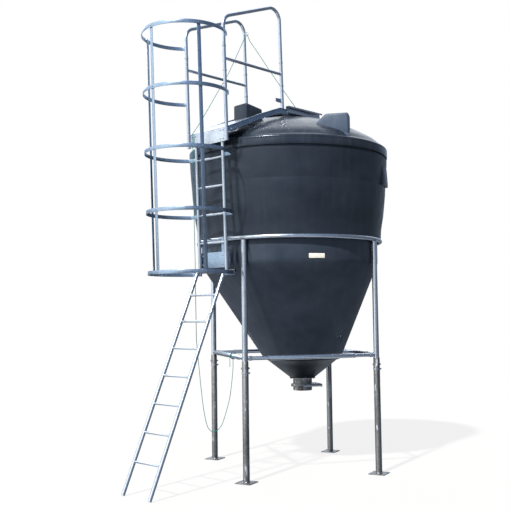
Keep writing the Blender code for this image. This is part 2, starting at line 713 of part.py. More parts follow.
def make_handrail(name, side):
    """One inverted U of tube from the ladder's top to the beam, with its mid rail."""
    seat = BEAM_TOP_LINE[-1][1] + GAP + RAIL_RADIUS * LADDER_LEAN
    inner = RAIL_IN[name]
    top = RAIL_TOP_OUT + (RAIL_OUT - inner) * RAIL_TOP_SLOPE
    corners = [(RAIL_OUT, RAIL_FOOT), (RAIL_OUT, RAIL_TOP_OUT), (inner, top), (inner, seat)]
    path = rounded([at_ladder((out, side, height)) for out, height in corners], RAIL_BENDS)
    rail = as_mesh(tube("handrail_" + name, path, RAIL_RADIUS))
    ends = [at_ladder((out, side, MID_RAIL_HEIGHT)) for out in (RAIL_OUT, inner)]
    mid_rail = rod("mid_rail", ends[0], ends[1], MID_RAIL_RADIUS, sides=12)
    return finish(combine(rail, [mid_rail], "UNION"), GALVANISED)


def make_roof_beam(name, side):
    """The bent beam from the handrail's outer post up to the channel."""
    outline = [*BEAM_TOP_LINE, *((out, height - BEAM_DEPTH) for out, height in reversed(BEAM_TOP_LINE))]
    half = BEAM_WIDTH / 2
    beam = prism("roof_beam_" + name, outline, side - half, side + half,
                 lambda out, height, depth: at_roof((out, depth, height)))
    return finish(beam, BLUE_GREY)


def make_roof_channel(name, side):
    """The open channel beside the filling neck, its slot away from the neck."""
    facing = 1 if side > 0 else -1
    inner = side - facing * CHANNEL_WIDTH / 2
    outer = side + facing * CHANNEL_WIDTH / 2
    foot = dome_height(abs(inner)) + GAP
    top = foot + CHANNEL_HEIGHT
    wall, lip = CHANNEL_WALL, CHANNEL_LIP
    inner_wall, outer_wall = inner + facing * wall, outer - facing * wall
    outline = [(inner, foot), (outer, foot), (outer, foot + lip), (outer_wall, foot + lip),
               (outer_wall, foot + wall), (inner_wall, foot + wall), (inner_wall, top - wall),
               (outer_wall, top - wall), (outer_wall, top - lip), (outer, top - lip),
               (outer, top), (inner, top)]
    near_end = BEAM_TOP_LINE[-1][0] - GAP
    channel = prism("roof_channel_" + name, outline, CHANNEL_FAR_END, near_end,
                    lambda width, height, out: at_roof((out, width, height)))
    return finish(channel, GALVANISED)


def make_step_plate():
    """The bent sheet at the ladder's top: an upright riser, then a slope up between the beams."""
    face = LADDER_OUT + STILE_RADIUS + GAP + LADDER_LEAN * (STEP_TOP - LADDER_FOOT)
    outer = face + STEP_THICKNESS
    rise = (outer - STEP_INNER) * STEP_SLOPE
    inner_top = STEP_TOP + rise
    outline = [(face, STEP_RISER_FOOT), (outer, STEP_RISER_FOOT), (outer, STEP_TOP),
               (STEP_INNER, inner_top),
               (STEP_INNER, inner_top - STEP_THICKNESS), (face, STEP_TOP - STEP_THICKNESS)]
    half = RAIL_HALF_SPACING - BEAM_WIDTH / 2 - GAP
    plate = prism("step_plate", outline, -half, half,
                  lambda out, height, depth: at_roof((out, depth, height)))
    return finish(plate, GALVANISED)


def make_roof_steelwork():
    for name, side in (("left", -RAIL_HALF_SPACING), ("right", RAIL_HALF_SPACING)):
        make_handrail(name, side)
        make_roof_beam(name, side)
        make_roof_channel(name, side)
    make_step_plate()


def make_ladder():
    make_upper_ladder()
    make_lower_ladder()
    make_ladder_bar()
    make_ladder_plate()
    for number in range(1, HOOPS + 1):
        make_hoop(number)
    make_cage_bar("left", -CAGE_BAR_ANGLE)
    make_cage_bar("middle", 0.0)
    make_cage_bar("right", CAGE_BAR_ANGLE)


def eye_centre():
    """Middle of the rope eye, on the side of the left handrail's inner post that faces the other rail."""
    side = -RAIL_HALF_SPACING + RAIL_RADIUS + GAP + EYE_RING + EYE_WIRE
    return (RAIL_IN["left"] + LADDER_LEAN * (EYE_HEIGHT - LADDER_FOOT), side, EYE_HEIGHT)


def make_rope_eye():
    facing = Matrix.Rotation(LADDER_AZIMUTH, 4, "Z") @ Matrix.Rotation(math.radians(90), 4, "Y")
    bpy.ops.mesh.primitive_torus_add(major_radius=EYE_RING, minor_radius=EYE_WIRE,
                                     major_segments=20, minor_segments=8)
    eye = bpy.context.object
    eye.name = "rope_eye"
    eye.data.transform(Matrix.Translation(at_roof(eye_centre())) @ facing)
    eye.data.shade_smooth()
    return finish(eye, GALVANISED)


def lid_knot_place():
    return at_roof((*LID_KNOT, LID_SLOPE_TOP + 2 * GAP + KNOT_SIZE))


def tie_place():
    return Vector((-LEG_OFFSET, TIE_ALONG, CROSS_TUBE_HEIGHT))


def knot_radius():
    return SLEEVE_RADIUS + GAP + 4 * ROPE_RADIUS


def route_to_eye(start):
    """From the lid up to the eye."""
    out, side, low = start
    ahead, above = math.cos(ROPE_RISE), math.sin(ROPE_RISE)
    climb = ((0.118, 0.028, 4.385), (0.216, -0.073, 4.600), (0.302, -0.165, 4.800))
    points = [at_roof(point) for point in climb]
    lead = [at_roof((out - ahead * run, side, low - above * run)) for run in (0.060, 0.020)]
    first = lid_knot_place()
    return [first + (points[0] - first).normalized() * (KNOT_SIZE + GAP), *points, *lead]


def route_over_eye(centre):
    """Round the lower wire of the eye."""
    out, side, up = centre
    steps = 6
    first, last = math.pi / 2 + ROPE_RISE, math.pi / 2 - ROPE_FALL
    turns = [first + (last - first) * step / steps for step in range(steps + 1)]
    middle = up - EYE_RING + EYE_WIRE + ROPE_RADIUS + 2 * GAP - ROPE_BEND
    bend = ROPE_BEND
    return [(out + bend * math.cos(turn), side, middle + bend * math.sin(turn)) for turn in turns]


def route_to_tie(start):
    """From the eye down over the step plate, inside the cage, and up again to the knot."""
    out, side, low = start
    ahead, below = math.cos(ROPE_FALL), math.sin(ROPE_FALL)
    lead = [(out + ahead * run, side, low - below * run) for run in (0.020, 0.060)]
    ladder = [
        (0.715, -0.257, 4.490), (0.866, -0.254, 4.275), (1.135, -0.244, 3.893), (1.245, -0.234, 3.755),
        (1.2805, -0.230, 3.7165), (1.2840, -0.230, 3.700), (1.284, -0.229, 3.640), (1.280, -0.229, 3.420),
        (1.272, -0.233, 3.098), (1.264, -0.237, 2.771), (1.257, -0.239, 2.556), (1.249, -0.241, 2.260),
        (1.247, -0.244, 2.115), (1.243, -0.245, 1.860), (1.236, -0.245, 1.480), (1.222, -0.243, 1.320),
        (1.202, -0.241, 1.139),
        (1.178, -0.239, 0.934), (1.146, -0.235, 0.709), (1.098, -0.229, 0.536), (1.020, -0.220, 0.478),
        (0.920, -0.209, 0.532), (0.850, -0.201, 0.680), (0.800, -0.194, 0.830), (0.768, -0.191, 1.008),
    ]
    end = tie_place()
    hang = [end - Vector((0, 0, drop)) for drop in (0.120, knot_radius() + GAP)]
    return [at_roof(point) for point in (*lead, *ladder)] + hang


def smooth_path(points, steps):
    """A smooth curve through the route's points, with so many steps from each to the next."""
    curve = []
    padded = [2 * points[0] - points[1], *points, 2 * points[-1] - points[-2]]
    for before, start, end, after in zip(padded, padded[1:], padded[2:], padded[3:]):
        into = (end - before) / 2 * min(1.0, (end - start).length / (start - before).length)
        away = (after - start) / 2 * min(1.0, (end - start).length / (after - end).length)
        for step in range(steps):
            t = step / steps
            curve.append(start * (2 * t ** 3 - 3 * t ** 2 + 1) + into * (t ** 3 - 2 * t ** 2 + t)
                         + end * (3 * t ** 2 - 2 * t ** 3) + away * (t ** 3 - t ** 2))
    curve.append(points[-1])
    return curve


def make_rope():
    over = route_over_eye(eye_centre())
    bend = [at_roof(point) for point in over]
    path = smooth_path(route_to_eye(over[0]), 3) + bend + smooth_path(route_to_tie(over[-1]), 2)
    finish(tube("rope", path, ROPE_RADIUS, resolution=2), TEAL_ROPE)


def make_knots():
    half = 3 * ROPE_RADIUS
    sides = 20
    bore = (SLEEVE_RADIUS + GAP) / math.cos(math.pi / sides)
    profile = [(knot_radius(), -half), (knot_radius(), half), (bore, half), (bore, -half)]
    frame_knot = loft("rope_knot_frame", centred(profile), segments=sides)
    frame_knot.data.transform(Matrix.Translation(tie_place()) @ Matrix.Rotation(math.radians(90), 4, "X"))
    finish(frame_knot, TEAL_ROPE)
    bm = bmesh.new()
    place = Matrix.Translation(lid_knot_place())
    bmesh.ops.create_uvsphere(bm, u_segments=12, v_segments=8, radius=KNOT_SIZE, matrix=place)
    finish(mesh_item("rope_knot_lid", bm), TEAL_ROPE)


def main():
    clear_scene()
    make_drum()
    make_hopper()
    make_outlet_cone()
    make_roof()
    make_lid()
    make_frame()
    make_spout()
    make_gate_frame()
    make_slide_gate()
    make_ladder()
    make_roof_steelwork()
    make_rope_eye()
    make_rope()
    make_knots()
    centre = bpy.data.objects.new("silo_axis", None)
    bpy.context.collection.objects.link(centre)
    centre.location = (-PLAN_CENTRE[0], -PLAN_CENTRE[1], 0)
    for item in list(bpy.data.objects):
        if item is not centre:
            item.parent = centre


main()
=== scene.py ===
import math

import bmesh
import bpy
from mathutils import Matrix, Vector


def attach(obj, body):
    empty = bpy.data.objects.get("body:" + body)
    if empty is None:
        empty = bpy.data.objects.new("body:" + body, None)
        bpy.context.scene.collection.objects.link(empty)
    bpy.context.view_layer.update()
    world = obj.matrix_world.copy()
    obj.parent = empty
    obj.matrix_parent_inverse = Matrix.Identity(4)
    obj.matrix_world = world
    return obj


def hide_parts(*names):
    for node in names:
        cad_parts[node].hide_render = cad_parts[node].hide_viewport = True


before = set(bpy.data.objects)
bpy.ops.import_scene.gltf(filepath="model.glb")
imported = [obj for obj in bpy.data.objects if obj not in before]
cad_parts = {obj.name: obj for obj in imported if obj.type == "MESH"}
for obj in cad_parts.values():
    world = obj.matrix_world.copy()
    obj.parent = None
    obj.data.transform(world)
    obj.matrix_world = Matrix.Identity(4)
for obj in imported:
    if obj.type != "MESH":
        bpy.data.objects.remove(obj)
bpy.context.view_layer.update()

# The looks of a feed silo: a black moulded tank on a galvanised tube frame, with a caged ladder.
# Metres. TANK is the tank's axis on the ground. The ladder's own directions are outward, sideways, up.

TANK = Vector((0.4515, 0.0805, 0.0))
UP = Vector((0.0, 0.0, 1.0))
GAP = 0.0003
WALL = 0.012
TUBE_WALL = 0.003
OUTLET = (0.172, 0.100)
LEG_OFFSET = 0.745
RING_RADIUS = LEG_OFFSET * math.sqrt(2)
RING_TUBE = 0.024
RING_HEIGHT = 2.560
STUB_LENGTH = 0.270
CROSS_TUBE_HEIGHT = 1.285
SLEEVE_RADIUS = 0.026
FOOT_PLATE_HALF = 0.090
FOOT_PLATE_THICKNESS = 0.010
ANCHOR_REACH = 0.090
ANCHOR_RADIUS = 0.009
UPPER_LEG_RADIUS = 0.030
UPPER_LEG_FOOT = 0.980
LOWER_LEG_RADIUS = 0.035
LOWER_LEG_TOP = 1.255
LEG_BOLT_HEIGHT = 1.182
LEG_BAND_HEIGHT = 1.132
CROSS_TUBE_RADIUS = 0.021
SLEEVE_HALF_LENGTH = 0.490
DOME_FOOT = 3.650
DOME_RISE = 0.380
DOME_RADIUS = 1.120
LADDER_AZIMUTH = math.radians(210)
LADDER_LEAN = 0.030
LADDER_FOOT = 2.20
LADDER_OUT = 1.207
LADDER_HALF_WIDTH = 0.208
LOWER_FOOT_OUT = 2.240
STILE_RADIUS = 0.019
RUNG_RADIUS = 0.012
RUNG_SPACING = 0.300
UPPER_FIRST_RUNG = 2.510
LOWER_FIRST_RUNG = 0.345
UPPER_LADDER_ENDS = (2.160, 3.700)
HOOP_OUT = 1.514
HOOP_RADIUS = 0.449
HOOP_LOWEST = 2.180
HOOP_SPACING = 0.624
BAR_HALF_WIDTH = 0.020
BAR_THICKNESS = 0.005
CAGE_BAR_ANGLE = math.radians(68)
RAIL_RADIUS = 0.019
RAIL_HALF_SPACING = 0.300
RAIL_OUT = 1.232
RAIL_IN = {"left": 0.318, "right": 0.354}
RAIL_FOOT = 3.560
RAIL_TOP = 4.874
RAIL_TOP_SLOPE = 0.380
RAIL_INNER_END = 4.0409
MID_RAIL_HEIGHT = 4.430
MID_RAIL_RADIUS = 0.01615
CHANNEL_BACK = -0.260
CHANNEL_LENGTH = 0.5897
STEP_TOP = 3.712
BEAM_OUT = RAIL_OUT - RAIL_RADIUS - GAP + LADDER_LEAN * (3.660 - LADDER_FOOT)
BEAM_LINE = ((BEAM_OUT, 3.720), (0.750, 3.935), (0.470, 4.040), (0.330, 4.040))
SIDES = {"left": -RAIL_HALF_SPACING, "right": RAIL_HALF_SPACING}
LEGS = {
    "rear_left": (-LEG_OFFSET, LEG_OFFSET),
    "front_left": (-LEG_OFFSET, -LEG_OFFSET),
    "front_right": (LEG_OFFSET, -LEG_OFFSET),
    "rear_right": (LEG_OFFSET, LEG_OFFSET),
}
FINISHES = {}


def at_tank(x, y, z):
    """A place given from the tank's axis on the ground."""
    return TANK + Vector((x, y, z))


def at_roof(point):
    """From outward, sideways and up, seen from the ladder, to the silo's own directions."""
    out, side, up = point
    cos, sin = math.cos(LADDER_AZIMUTH), math.sin(LADDER_AZIMUTH)
    return at_tank(out * cos - side * sin, out * sin + side * cos, up)


def at_ladder(point):
    """The same, with the ladder's slight outward lean."""
    out, side, up = point
    return at_roof((out + LADDER_LEAN * (up - LADDER_FOOT), side, up))


def ladder_way(out, side, up):
    """A direction that is given outward, sideways and up."""
    return at_roof((out, side, up)) - TANK


def level_way(degrees):
    """A level direction, by its angle round the tank."""
    angle = math.radians(degrees)
    return Vector((math.cos(angle), math.sin(angle), 0.0))


def dome_height(radius):
    return DOME_FOOT + DOME_RISE * (1 - (radius / DOME_RADIUS) ** 2)


# Camera, floor and light

CAMERA_PLACE = (-2.942, -9.099, 1.786)
CAMERA_TURN = (0.27080, 0.06770, -0.01270)
SENSOR = 36.0
FOCAL_PIXELS = 818.7
PHOTO_SIDE = 510.0
SUN_TURN = -137.0
SUN_RISE = math.radians(48.0)
AIR = [
    (0.00, (0.050, 0.056, 0.066)), (0.04, (0.10, 0.115, 0.135)), (0.12, (0.95, 1.03, 1.14)),
    (0.24, (0.60, 0.66, 0.75)), (0.42, (0.15, 0.17, 0.20)), (0.485, (0.14, 0.16, 0.19)),
    (0.505, (0.66, 0.74, 0.82)), (0.56, (0.54, 0.67, 0.85)), (0.70, (0.26, 0.42, 0.70)),
    (1.00, (0.12, 0.24, 0.48)),
]


def place_camera():
    """The photograph's view, found from the ladder's rungs and the legs."""
    yaw, pitch, roll = CAMERA_TURN
    ahead = Vector((math.sin(yaw) * math.cos(pitch), math.cos(yaw) * math.cos(pitch), math.sin(pitch)))
    level = Vector((math.cos(yaw), -math.sin(yaw), 0.0))
    above = level.cross(ahead)
    right = level * math.cos(roll) + above * math.sin(roll)
    up = above * math.cos(roll) - level * math.sin(roll)
    data = bpy.data.cameras.new("photo_camera")
    data.sensor_width = SENSOR
    data.lens = FOCAL_PIXELS * SENSOR / PHOTO_SIDE
    data.clip_end = 200.0
    camera = bpy.data.objects.new("photo_camera", data)
    bpy.context.collection.objects.link(camera)
    turn = Matrix((right, up, -ahead)).transposed().to_4x4()
    camera.matrix_world = Matrix.Translation(at_tank(*CAMERA_PLACE)) @ turn
    bpy.context.scene.camera = camera


def towards(tree, place, way):
    """How nearly a place lies towards one direction."""
    node = tree.nodes.new("ShaderNodeVectorMath")
    node.operation = "DOT_PRODUCT"
    node.inputs[1].default_value = way
    tree.links.new(place, node.inputs[0])
    return node.outputs["Value"]


def colour_air(tree):
    """What gloss reflects: ground, horizon, sky, a dim right side, haze and glare behind, a left window."""
    place = tree.nodes.new("ShaderNodeTexCoord").outputs["Generated"]
    parts = tree.nodes.new("ShaderNodeSeparateXYZ")
    tree.links.new(place, parts.inputs["Vector"])
    height = reckon(tree, "MULTIPLY_ADD", parts.outputs["Z"], 0.5, 0.5)
    curtain = ramp(tree, towards(tree, place, Vector((0.96, -0.27, 0.0))), [(0.35, 0.0), (0.80, 0.80)])
    air = blend(tree, curtain, ramp(tree, height, AIR), (0.10, 0.12, 0.16, 1.0))
    raised = ramp(tree, height, [(0.625, 0.0), (0.72, 1.0)])
    for way, low, high, tint in (((0.16, 0.74, 0.65), 0.62, 0.90, (1.45, 1.52, 1.62, 1.0)),
                                 ((-0.28, 0.86, 0.42), 0.90, 0.985, (5.2, 5.3, 5.5, 1.0))):
        glow = ramp(tree, towards(tree, place, Vector(way).normalized()), [(low, 0.0), (high, 1.0)])
        air = blend(tree, reckon(tree, "MULTIPLY", raised, glow), air, tint)
    window = towards(tree, place, Vector((-0.90, -0.12, 0.42)).normalized())
    return blend(tree, ramp(tree, window, [(0.50, 0.0), (0.90, 1.0)]), air, (1.55, 1.64, 1.72, 1.0))


def light_studio():
    """White air for the view, a dimmer white for soft light, coloured air for gloss, and one key light."""
    world = bpy.data.worlds.new("studio_air")
    world.use_nodes = True
    tree = world.node_tree
    room = tree.nodes["Background"]
    tree.links.new(colour_air(tree), room.inputs["Color"])
    rays = tree.nodes.new("ShaderNodeLightPath").outputs
    white = tree.nodes.new("ShaderNodeBackground")
    coat(tree, white, {"Color": (1.0, 1.0, 1.0, 1.0),
                       "Strength": reckon(tree, "MULTIPLY_ADD", rays["Is Diffuse Ray"], -0.55, 1.0)})
    plain = reckon(tree, "MAXIMUM", rays["Is Camera Ray"], rays["Is Diffuse Ray"])
    both = tree.nodes.new("ShaderNodeMixShader")
    for source, socket in zip((plain, room.outputs["Background"], white.outputs["Background"]), both.inputs):
        tree.links.new(source, socket)
    tree.links.new(both.outputs["Shader"], tree.nodes["World Output"].inputs["Surface"])
    bpy.context.scene.world = world
    bpy.context.scene.view_settings.view_transform = "Standard"
    lamp = bpy.data.lights.new("key_light", "SUN")
    lamp.energy = 5.0
    lamp.angle = math.radians(2.5)
    lamp.color = (1.0, 0.97, 0.93)
    key = bpy.data.objects.new("key_light", lamp)
    bpy.context.collection.objects.link(key)
    aim = level_way(SUN_TURN) * math.cos(SUN_RISE) + UP * math.sin(SUN_RISE)
    key.rotation_euler = aim.to_track_quat("Z", "Y").to_euler()
    key.location = aim * 12.0


def lay_floor():
    deselect()
    bpy.ops.mesh.primitive_plane_add(size=60.0, location=(0.0, 0.0, -0.001))
    floor = bpy.context.object
    floor.name = "studio_floor"
    finish, tree, shader, _ = new_finish("pale_floor")
    coat(tree, shader, {"Base Color": (0.11, 0.11, 0.11, 1.0), "Emission Color": (1.0, 1.0, 1.0, 1.0),
                        "Emission Strength": 0.82, "Specular IOR Level": 0.0, "Roughness": 0.9})
    floor.data.materials.append(finish)
    floor.visible_glossy = False
    floor.visible_diffuse = False


# Finishes

BLACK_DEEP = (0.0105, 0.0150, 0.0240)
BLACK_PALE = (0.0200, 0.0270, 0.0400)


def new_finish(name):
    """A finish with its node tree and shader, and the place on the piece to read patterns from."""
    finish = bpy.data.materials.new(name)
    finish.use_nodes = True
    tree = finish.node_tree
    place = tree.nodes.new("ShaderNodeTexCoord").outputs["Object"]
    return finish, tree, tree.nodes["Principled BSDF"], place


def feed(tree, value, socket):
    """Link a socket to another, or set it to a plain value."""
    if isinstance(value, bpy.types.NodeSocket):
        tree.links.new(value, socket)
    else:
        socket.default_value = value


def coat(tree, shader, values):
    """Feed a shader's sockets by name."""
    for name, value in values.items():
        feed(tree, value, shader.inputs[name])


def reckon(tree, operation, *values):
    """One step of arithmetic on sockets and numbers."""
    node = tree.nodes.new("ShaderNodeMath")
    node.operation = operation
    for value, socket in zip(values, node.inputs):
        feed(tree, value, socket)
    return node.outputs["Value"]


def noise(tree, place, scale, detail=4.0, stretch=None):
    """Mottle at a scale, drawn out where a stretch is given."""
    if stretch:
        mapping = tree.nodes.new("ShaderNodeMapping")
        coat(tree, mapping, {"Scale": stretch, "Vector": place})
        place = mapping.outputs["Vector"]
    texture = tree.nodes.new("ShaderNodeTexNoise")
    coat(tree, texture, {"Scale": scale, "Detail": detail, "Roughness": 0.55, "Vector": place})
    return texture.outputs["Fac"]


def ramp(tree, value, stops):
    """A colour ramp through (position, colour) stops; a single number makes a grey."""
    node = tree.nodes.new("ShaderNodeValToRGB")
    band = node.color_ramp
    while len(band.elements) < len(stops):
        band.elements.new(0.5)
    for element, (position, colour) in zip(band.elements, stops):
        element.position = position
        element.color = (*colour, 1.0) if isinstance(colour, tuple) else (colour, colour, colour, 1.0)
    tree.links.new(value, node.inputs["Fac"])
    return node.outputs["Color"]


def blend(tree, share, first, second):
    """Mix two colours; share is a socket or a number."""
    node = tree.nodes.new("ShaderNodeMix")
    node.data_type = "RGBA"
    for value, number in ((share, 0), (first, 6), (second, 7)):
        feed(tree, value, node.inputs[number])
    return node.outputs[2]


def bump(tree, height, distance, strength, under=None):
    node = tree.nodes.new("ShaderNodeBump")
    coat(tree, node, {"Distance": distance, "Strength": strength, "Height": height})
    if under is not None:
        tree.links.new(under, node.inputs["Normal"])
    return node.outputs["Normal"]


def black_moulding(name, shade=1.0, dust=0.11, rough=(0.36, 0.48)):
    """Moulded black polyethylene: soft sheen, faint waves, orange peel, and dust that has run down. Shade
    scales its colours: paler copies are painted light, darker ones painted shade.
    """
    finish, tree, shader, place = new_finish(name)
    deep, pale = [tuple(value * shade for value in colour) for colour in (BLACK_DEEP, BLACK_PALE)]
    body = ramp(tree, noise(tree, place, 2.6, detail=6.0), [(0.35, deep), (0.70, pale)])
    runs = noise(tree, place, 1.0, detail=5.0, stretch=(13.0, 13.0, 0.8))
    dusty = ramp(tree, runs, [(0.40, 0.0), (0.56, dust * 0.2), (0.80, dust)])
    waves = bump(tree, noise(tree, place, 2.0, detail=2.0, stretch=(1.0, 1.0, 1.6)), 0.020, 0.6)
    coat(tree, shader, {
        "Base Color": blend(tree, dusty, body, (0.105, 0.125, 0.145, 1.0)),
        "Roughness": ramp(tree, noise(tree, place, 7.0, detail=5.0), [(0.3, rough[0]), (0.7, rough[1])]),
        # bluish tint on the gloss: painted sky colour in the sheen of every black moulding
        "Specular Tint": (0.74, 0.86, 1.0, 1.0),
        "Specular IOR Level": 0.42,
        "Normal": bump(tree, noise(tree, place, 150.0, detail=2.0), 0.0012, 0.3, under=waves),
    })
    return finish


def galvanised(name, dark, light, spangle=60.0, rough=(0.28, 0.44), grime=0.35, stain=(0.10, 0.10, 0.10),
               scratch=0.0):
    """Hot-dip zinc: spangled crystals between two greys, darker handling stains, scratches if any."""
    finish, tree, shader, place = new_finish(name)
    crystals = tree.nodes.new("ShaderNodeTexVoronoi")
    coat(tree, crystals, {"Scale": spangle, "Vector": place})
    flakes = tree.nodes.new("ShaderNodeRGBToBW")
    tree.links.new(crystals.outputs["Color"], flakes.inputs["Color"])
    body = ramp(tree, flakes.outputs["Val"], [(0.15, dark), (0.85, light)])
    worn = ramp(tree, noise(tree, place, 1.0, stretch=(9.0, 9.0, 1.6)), [(0.48, 0.0), (0.74, grime)])
    colour = blend(tree, worn, body, (*stain, 1.0))
    if scratch:
        marks = noise(tree, place, 1.0, detail=3.0, stretch=(38.0, 38.0, 7.0))
        bare = ramp(tree, marks, [(0.63, 0.0), (0.68, scratch)])
        colour = blend(tree, bare, colour, (0.80, 0.82, 0.84, 1.0))
    coat(tree, shader, {
        "Base Color": colour,
        "Metallic": 0.95,
        "Roughness": ramp(tree, noise(tree, place, 23.0), [(0.3, rough[0]), (0.7, rough[1])]),
        "Normal": bump(tree, noise(tree, place, 14.0, detail=2.0), 0.0003, 0.06),
    })
    return finish


def laid_rope():
    """Teal rope, paler in its fibres' highlights, and a little faded along its length."""
    finish, tree, shader, place = new_finish("teal_rope")
    fibres = noise(tree, place, 420.0, detail=3.0)
    strands = ramp(tree, fibres, [(0.30, (0.004, 0.150, 0.140)), (0.70, (0.020, 0.330, 0.300))])
    worn = ramp(tree, noise(tree, place, 5.0), [(0.45, 0.0), (0.75, 0.20)])
    coat(tree, shader, {"Base Color": blend(tree, worn, strands, (0.12, 0.42, 0.38, 1.0)), "Roughness": 0.80,
                        "Normal": bump(tree, fibres, 0.0006, 0.7)})
    return finish


def label_card():
    """A blank pale plate, a little yellowed and scuffed."""
    finish, tree, shader, place = new_finish("blank_plate")
    scuffs = noise(tree, place, 40.0, detail=5.0)
    card = ramp(tree, scuffs, [(0.35, (0.78, 0.76, 0.68)), (0.65, (0.90, 0.89, 0.84))])
    coat(tree, shader, {"Base Color": card, "Roughness": 0.45})
    return finish


def make_finishes():
    FINISHES.update({
        "black_plastic": black_moulding("black_moulding"),
        "dusty_roof": black_moulding("black_roof", shade=1.1, dust=0.35, rough=(0.20, 0.32)),
        # painted light: the hopper's moulding made paler to stand for light its underside does not get, with
        # a little dust
        "dusty_painted_light_hopper": black_moulding("black_hopper_painted_light", shade=1.7, dust=0.14),
        # painted light: the upstand's moulding made far paler to stand for sunlight on its face, with its
        # dust raised too
        "dusty_painted_light_upstand": black_moulding("black_upstand_painted_light", shade=4.6, dust=0.60),
        # painted shade: the outlet cone's moulding made darker for the shade under the hopper
        "shaded_cone": black_moulding("black_cone_painted_shade", shade=0.30, dust=0.03),
        "galvanised_steel": galvanised("bright_zinc", (0.49, 0.53, 0.58), (0.56, 0.60, 0.65),
                                       rough=(0.20, 0.28), grime=0.16),
        "weathered_steel": galvanised("weathered_zinc", (0.205, 0.200, 0.195), (0.300, 0.295, 0.290),
                                      spangle=85.0, rough=(0.30, 0.44), grime=0.70,
                                      stain=(0.060, 0.056, 0.052), scratch=0.9),
        "cage_steel": galvanised("blue_grey_zinc", (0.27, 0.35, 0.45), (0.35, 0.44, 0.55), spangle=70.0,
                                 rough=(0.26, 0.40), grime=0.25),
        "rusty_steel": galvanised("rusty_steel", (0.16, 0.11, 0.085), (0.26, 0.19, 0.15), spangle=120.0,
                                  rough=(0.50, 0.70), grime=0.70, stain=(0.10, 0.055, 0.035)),
        "bright_rod": galvanised("bright_rod", (0.40, 0.40, 0.40), (0.55, 0.55, 0.55), spangle=140.0,
                                 rough=(0.28, 0.42)),
        "pull_rope": laid_rope(),
        "label": label_card(),
        "fastener": galvanised("plated_fastener", (0.30, 0.33, 0.37), (0.62, 0.66, 0.70), spangle=300.0,
                               rough=(0.25, 0.40)),
    })


# Workbench

def deselect():
    bpy.ops.object.select_all(action="DESELECT")


def select_only(*pieces):
    deselect()
    for piece in pieces:
        piece.select_set(True)
    bpy.context.view_layer.objects.active = pieces[0]


def begin(name, add, **size):
    """Add a primitive with nothing else selected, name it, and open it, all selected, for shaping."""
    deselect()
    add(**size)
    piece = bpy.context.object
    piece.name = name
    piece.data.name = name
    bpy.ops.object.mode_set(mode="EDIT")
    bpy.ops.mesh.select_mode(type="VERT")
    bpy.ops.mesh.select_all(action="SELECT")
    return piece


def begin_at(name, point):
    """Begin a piece as a single point, to be pulled out into shape."""
    piece = begin(name, bpy.ops.mesh.primitive_plane_add, size=0.01, location=point)
    bpy.ops.mesh.merge(type="CENTER")
    return piece


def close_piece(piece):
    """Leave edit mode and put the piece's place into its mesh."""
    bpy.ops.object.mode_set(mode="OBJECT")
    select_only(piece)
    bpy.ops.object.transform_apply(location=True, rotation=True, scale=True)
    return piece


def pick_end(piece, sign=1):
    """Select the faces that look along the open piece's own up, or down where the sign is -1."""
    bpy.ops.mesh.select_mode(type="FACE")
    bpy.ops.mesh.select_all(action="DESELECT")
    mesh = bmesh.from_edit_mesh(piece.data)
    for face in mesh.faces:
        if face.normal.z * sign > 0.9:
            face.select_set(True)
    bmesh.update_edit_mesh(piece.data)


def pick_open_edges():
    bpy.ops.mesh.select_mode(type="VERT")
    bpy.ops.mesh.select_all(action="DESELECT")
    bpy.ops.mesh.select_non_manifold()


def cap_holes():
    """Close every open edge of the open piece."""
    pick_open_edges()
    bpy.ops.mesh.edge_face_add()


def weld_seams():
    """Merge the doubles of the open piece and turn its faces outwards."""
    bpy.ops.mesh.select_mode(type="VERT")
    bpy.ops.mesh.select_all(action="SELECT")
    bpy.ops.mesh.remove_doubles(threshold=0.00002)
    bpy.ops.mesh.normals_make_consistent(inside=False)


def sweep(angle, centre, axis, steps):
    """Spin what is selected, right-handed about the axis."""
    bpy.ops.mesh.spin(steps=steps, angle=-angle, center=centre, axis=axis)


def pull(way):
    """Extrude what is selected along a way."""
    bpy.ops.mesh.extrude_region_move(TRANSFORM_OT_translate={"value": way})


def widen(scale, centre):
    """Scale what is selected, level, about a centre."""
    bpy.ops.transform.resize(value=(scale, scale, 1.0), center_override=centre)


def soften(piece, width, segments=2):
    """Round the piece's hard edges."""
    edge = piece.modifiers.new("edge", "BEVEL")
    edge.width = width
    edge.segments = segments
    edge.limit_method = "ANGLE"
    edge.angle_limit = math.radians(35)
    select_only(piece)
    bpy.ops.object.modifier_apply(modifier=edge.name)


def join(name, pieces):
    select_only(*pieces)
    if len(pieces) > 1:
        bpy.ops.object.join()
    piece = bpy.context.object
    piece.name = name
    piece.data.name = name
    return piece


def cut(piece, cutters):
    """Cut a piece with closed solids, which are used up."""
    for cutter in cutters:
        hole = piece.modifiers.new("hole", "BOOLEAN")
        hole.operation = "DIFFERENCE"
        hole.solver = "EXACT"
        hole.object = cutter
        select_only(piece)
        bpy.ops.object.modifier_apply(modifier=hole.name)
        bpy.data.objects.remove(cutter, do_unlink=True)


def dress(piece, finish, replaces=(), body="silo", smooth=32.0):
    """Shade a finished piece, give it its finish, and fix it to the part of the silo that it moves with."""
    select_only(piece)
    bpy.ops.object.shade_smooth_by_angle(angle=math.radians(smooth))
    piece.data.materials.clear()
    piece.data.materials.append(FINISHES[finish])
    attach(piece, body)
    if replaces:
        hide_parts(*replaces)


def aimed(point, way, size=1.0):
    """The place of a copy whose own up points a given way."""
    facing = Vector(way).to_track_quat("Z", "Y").to_matrix().to_4x4()
    return Matrix.Translation(Vector(point)) @ facing @ Matrix.Scale(size, 4)


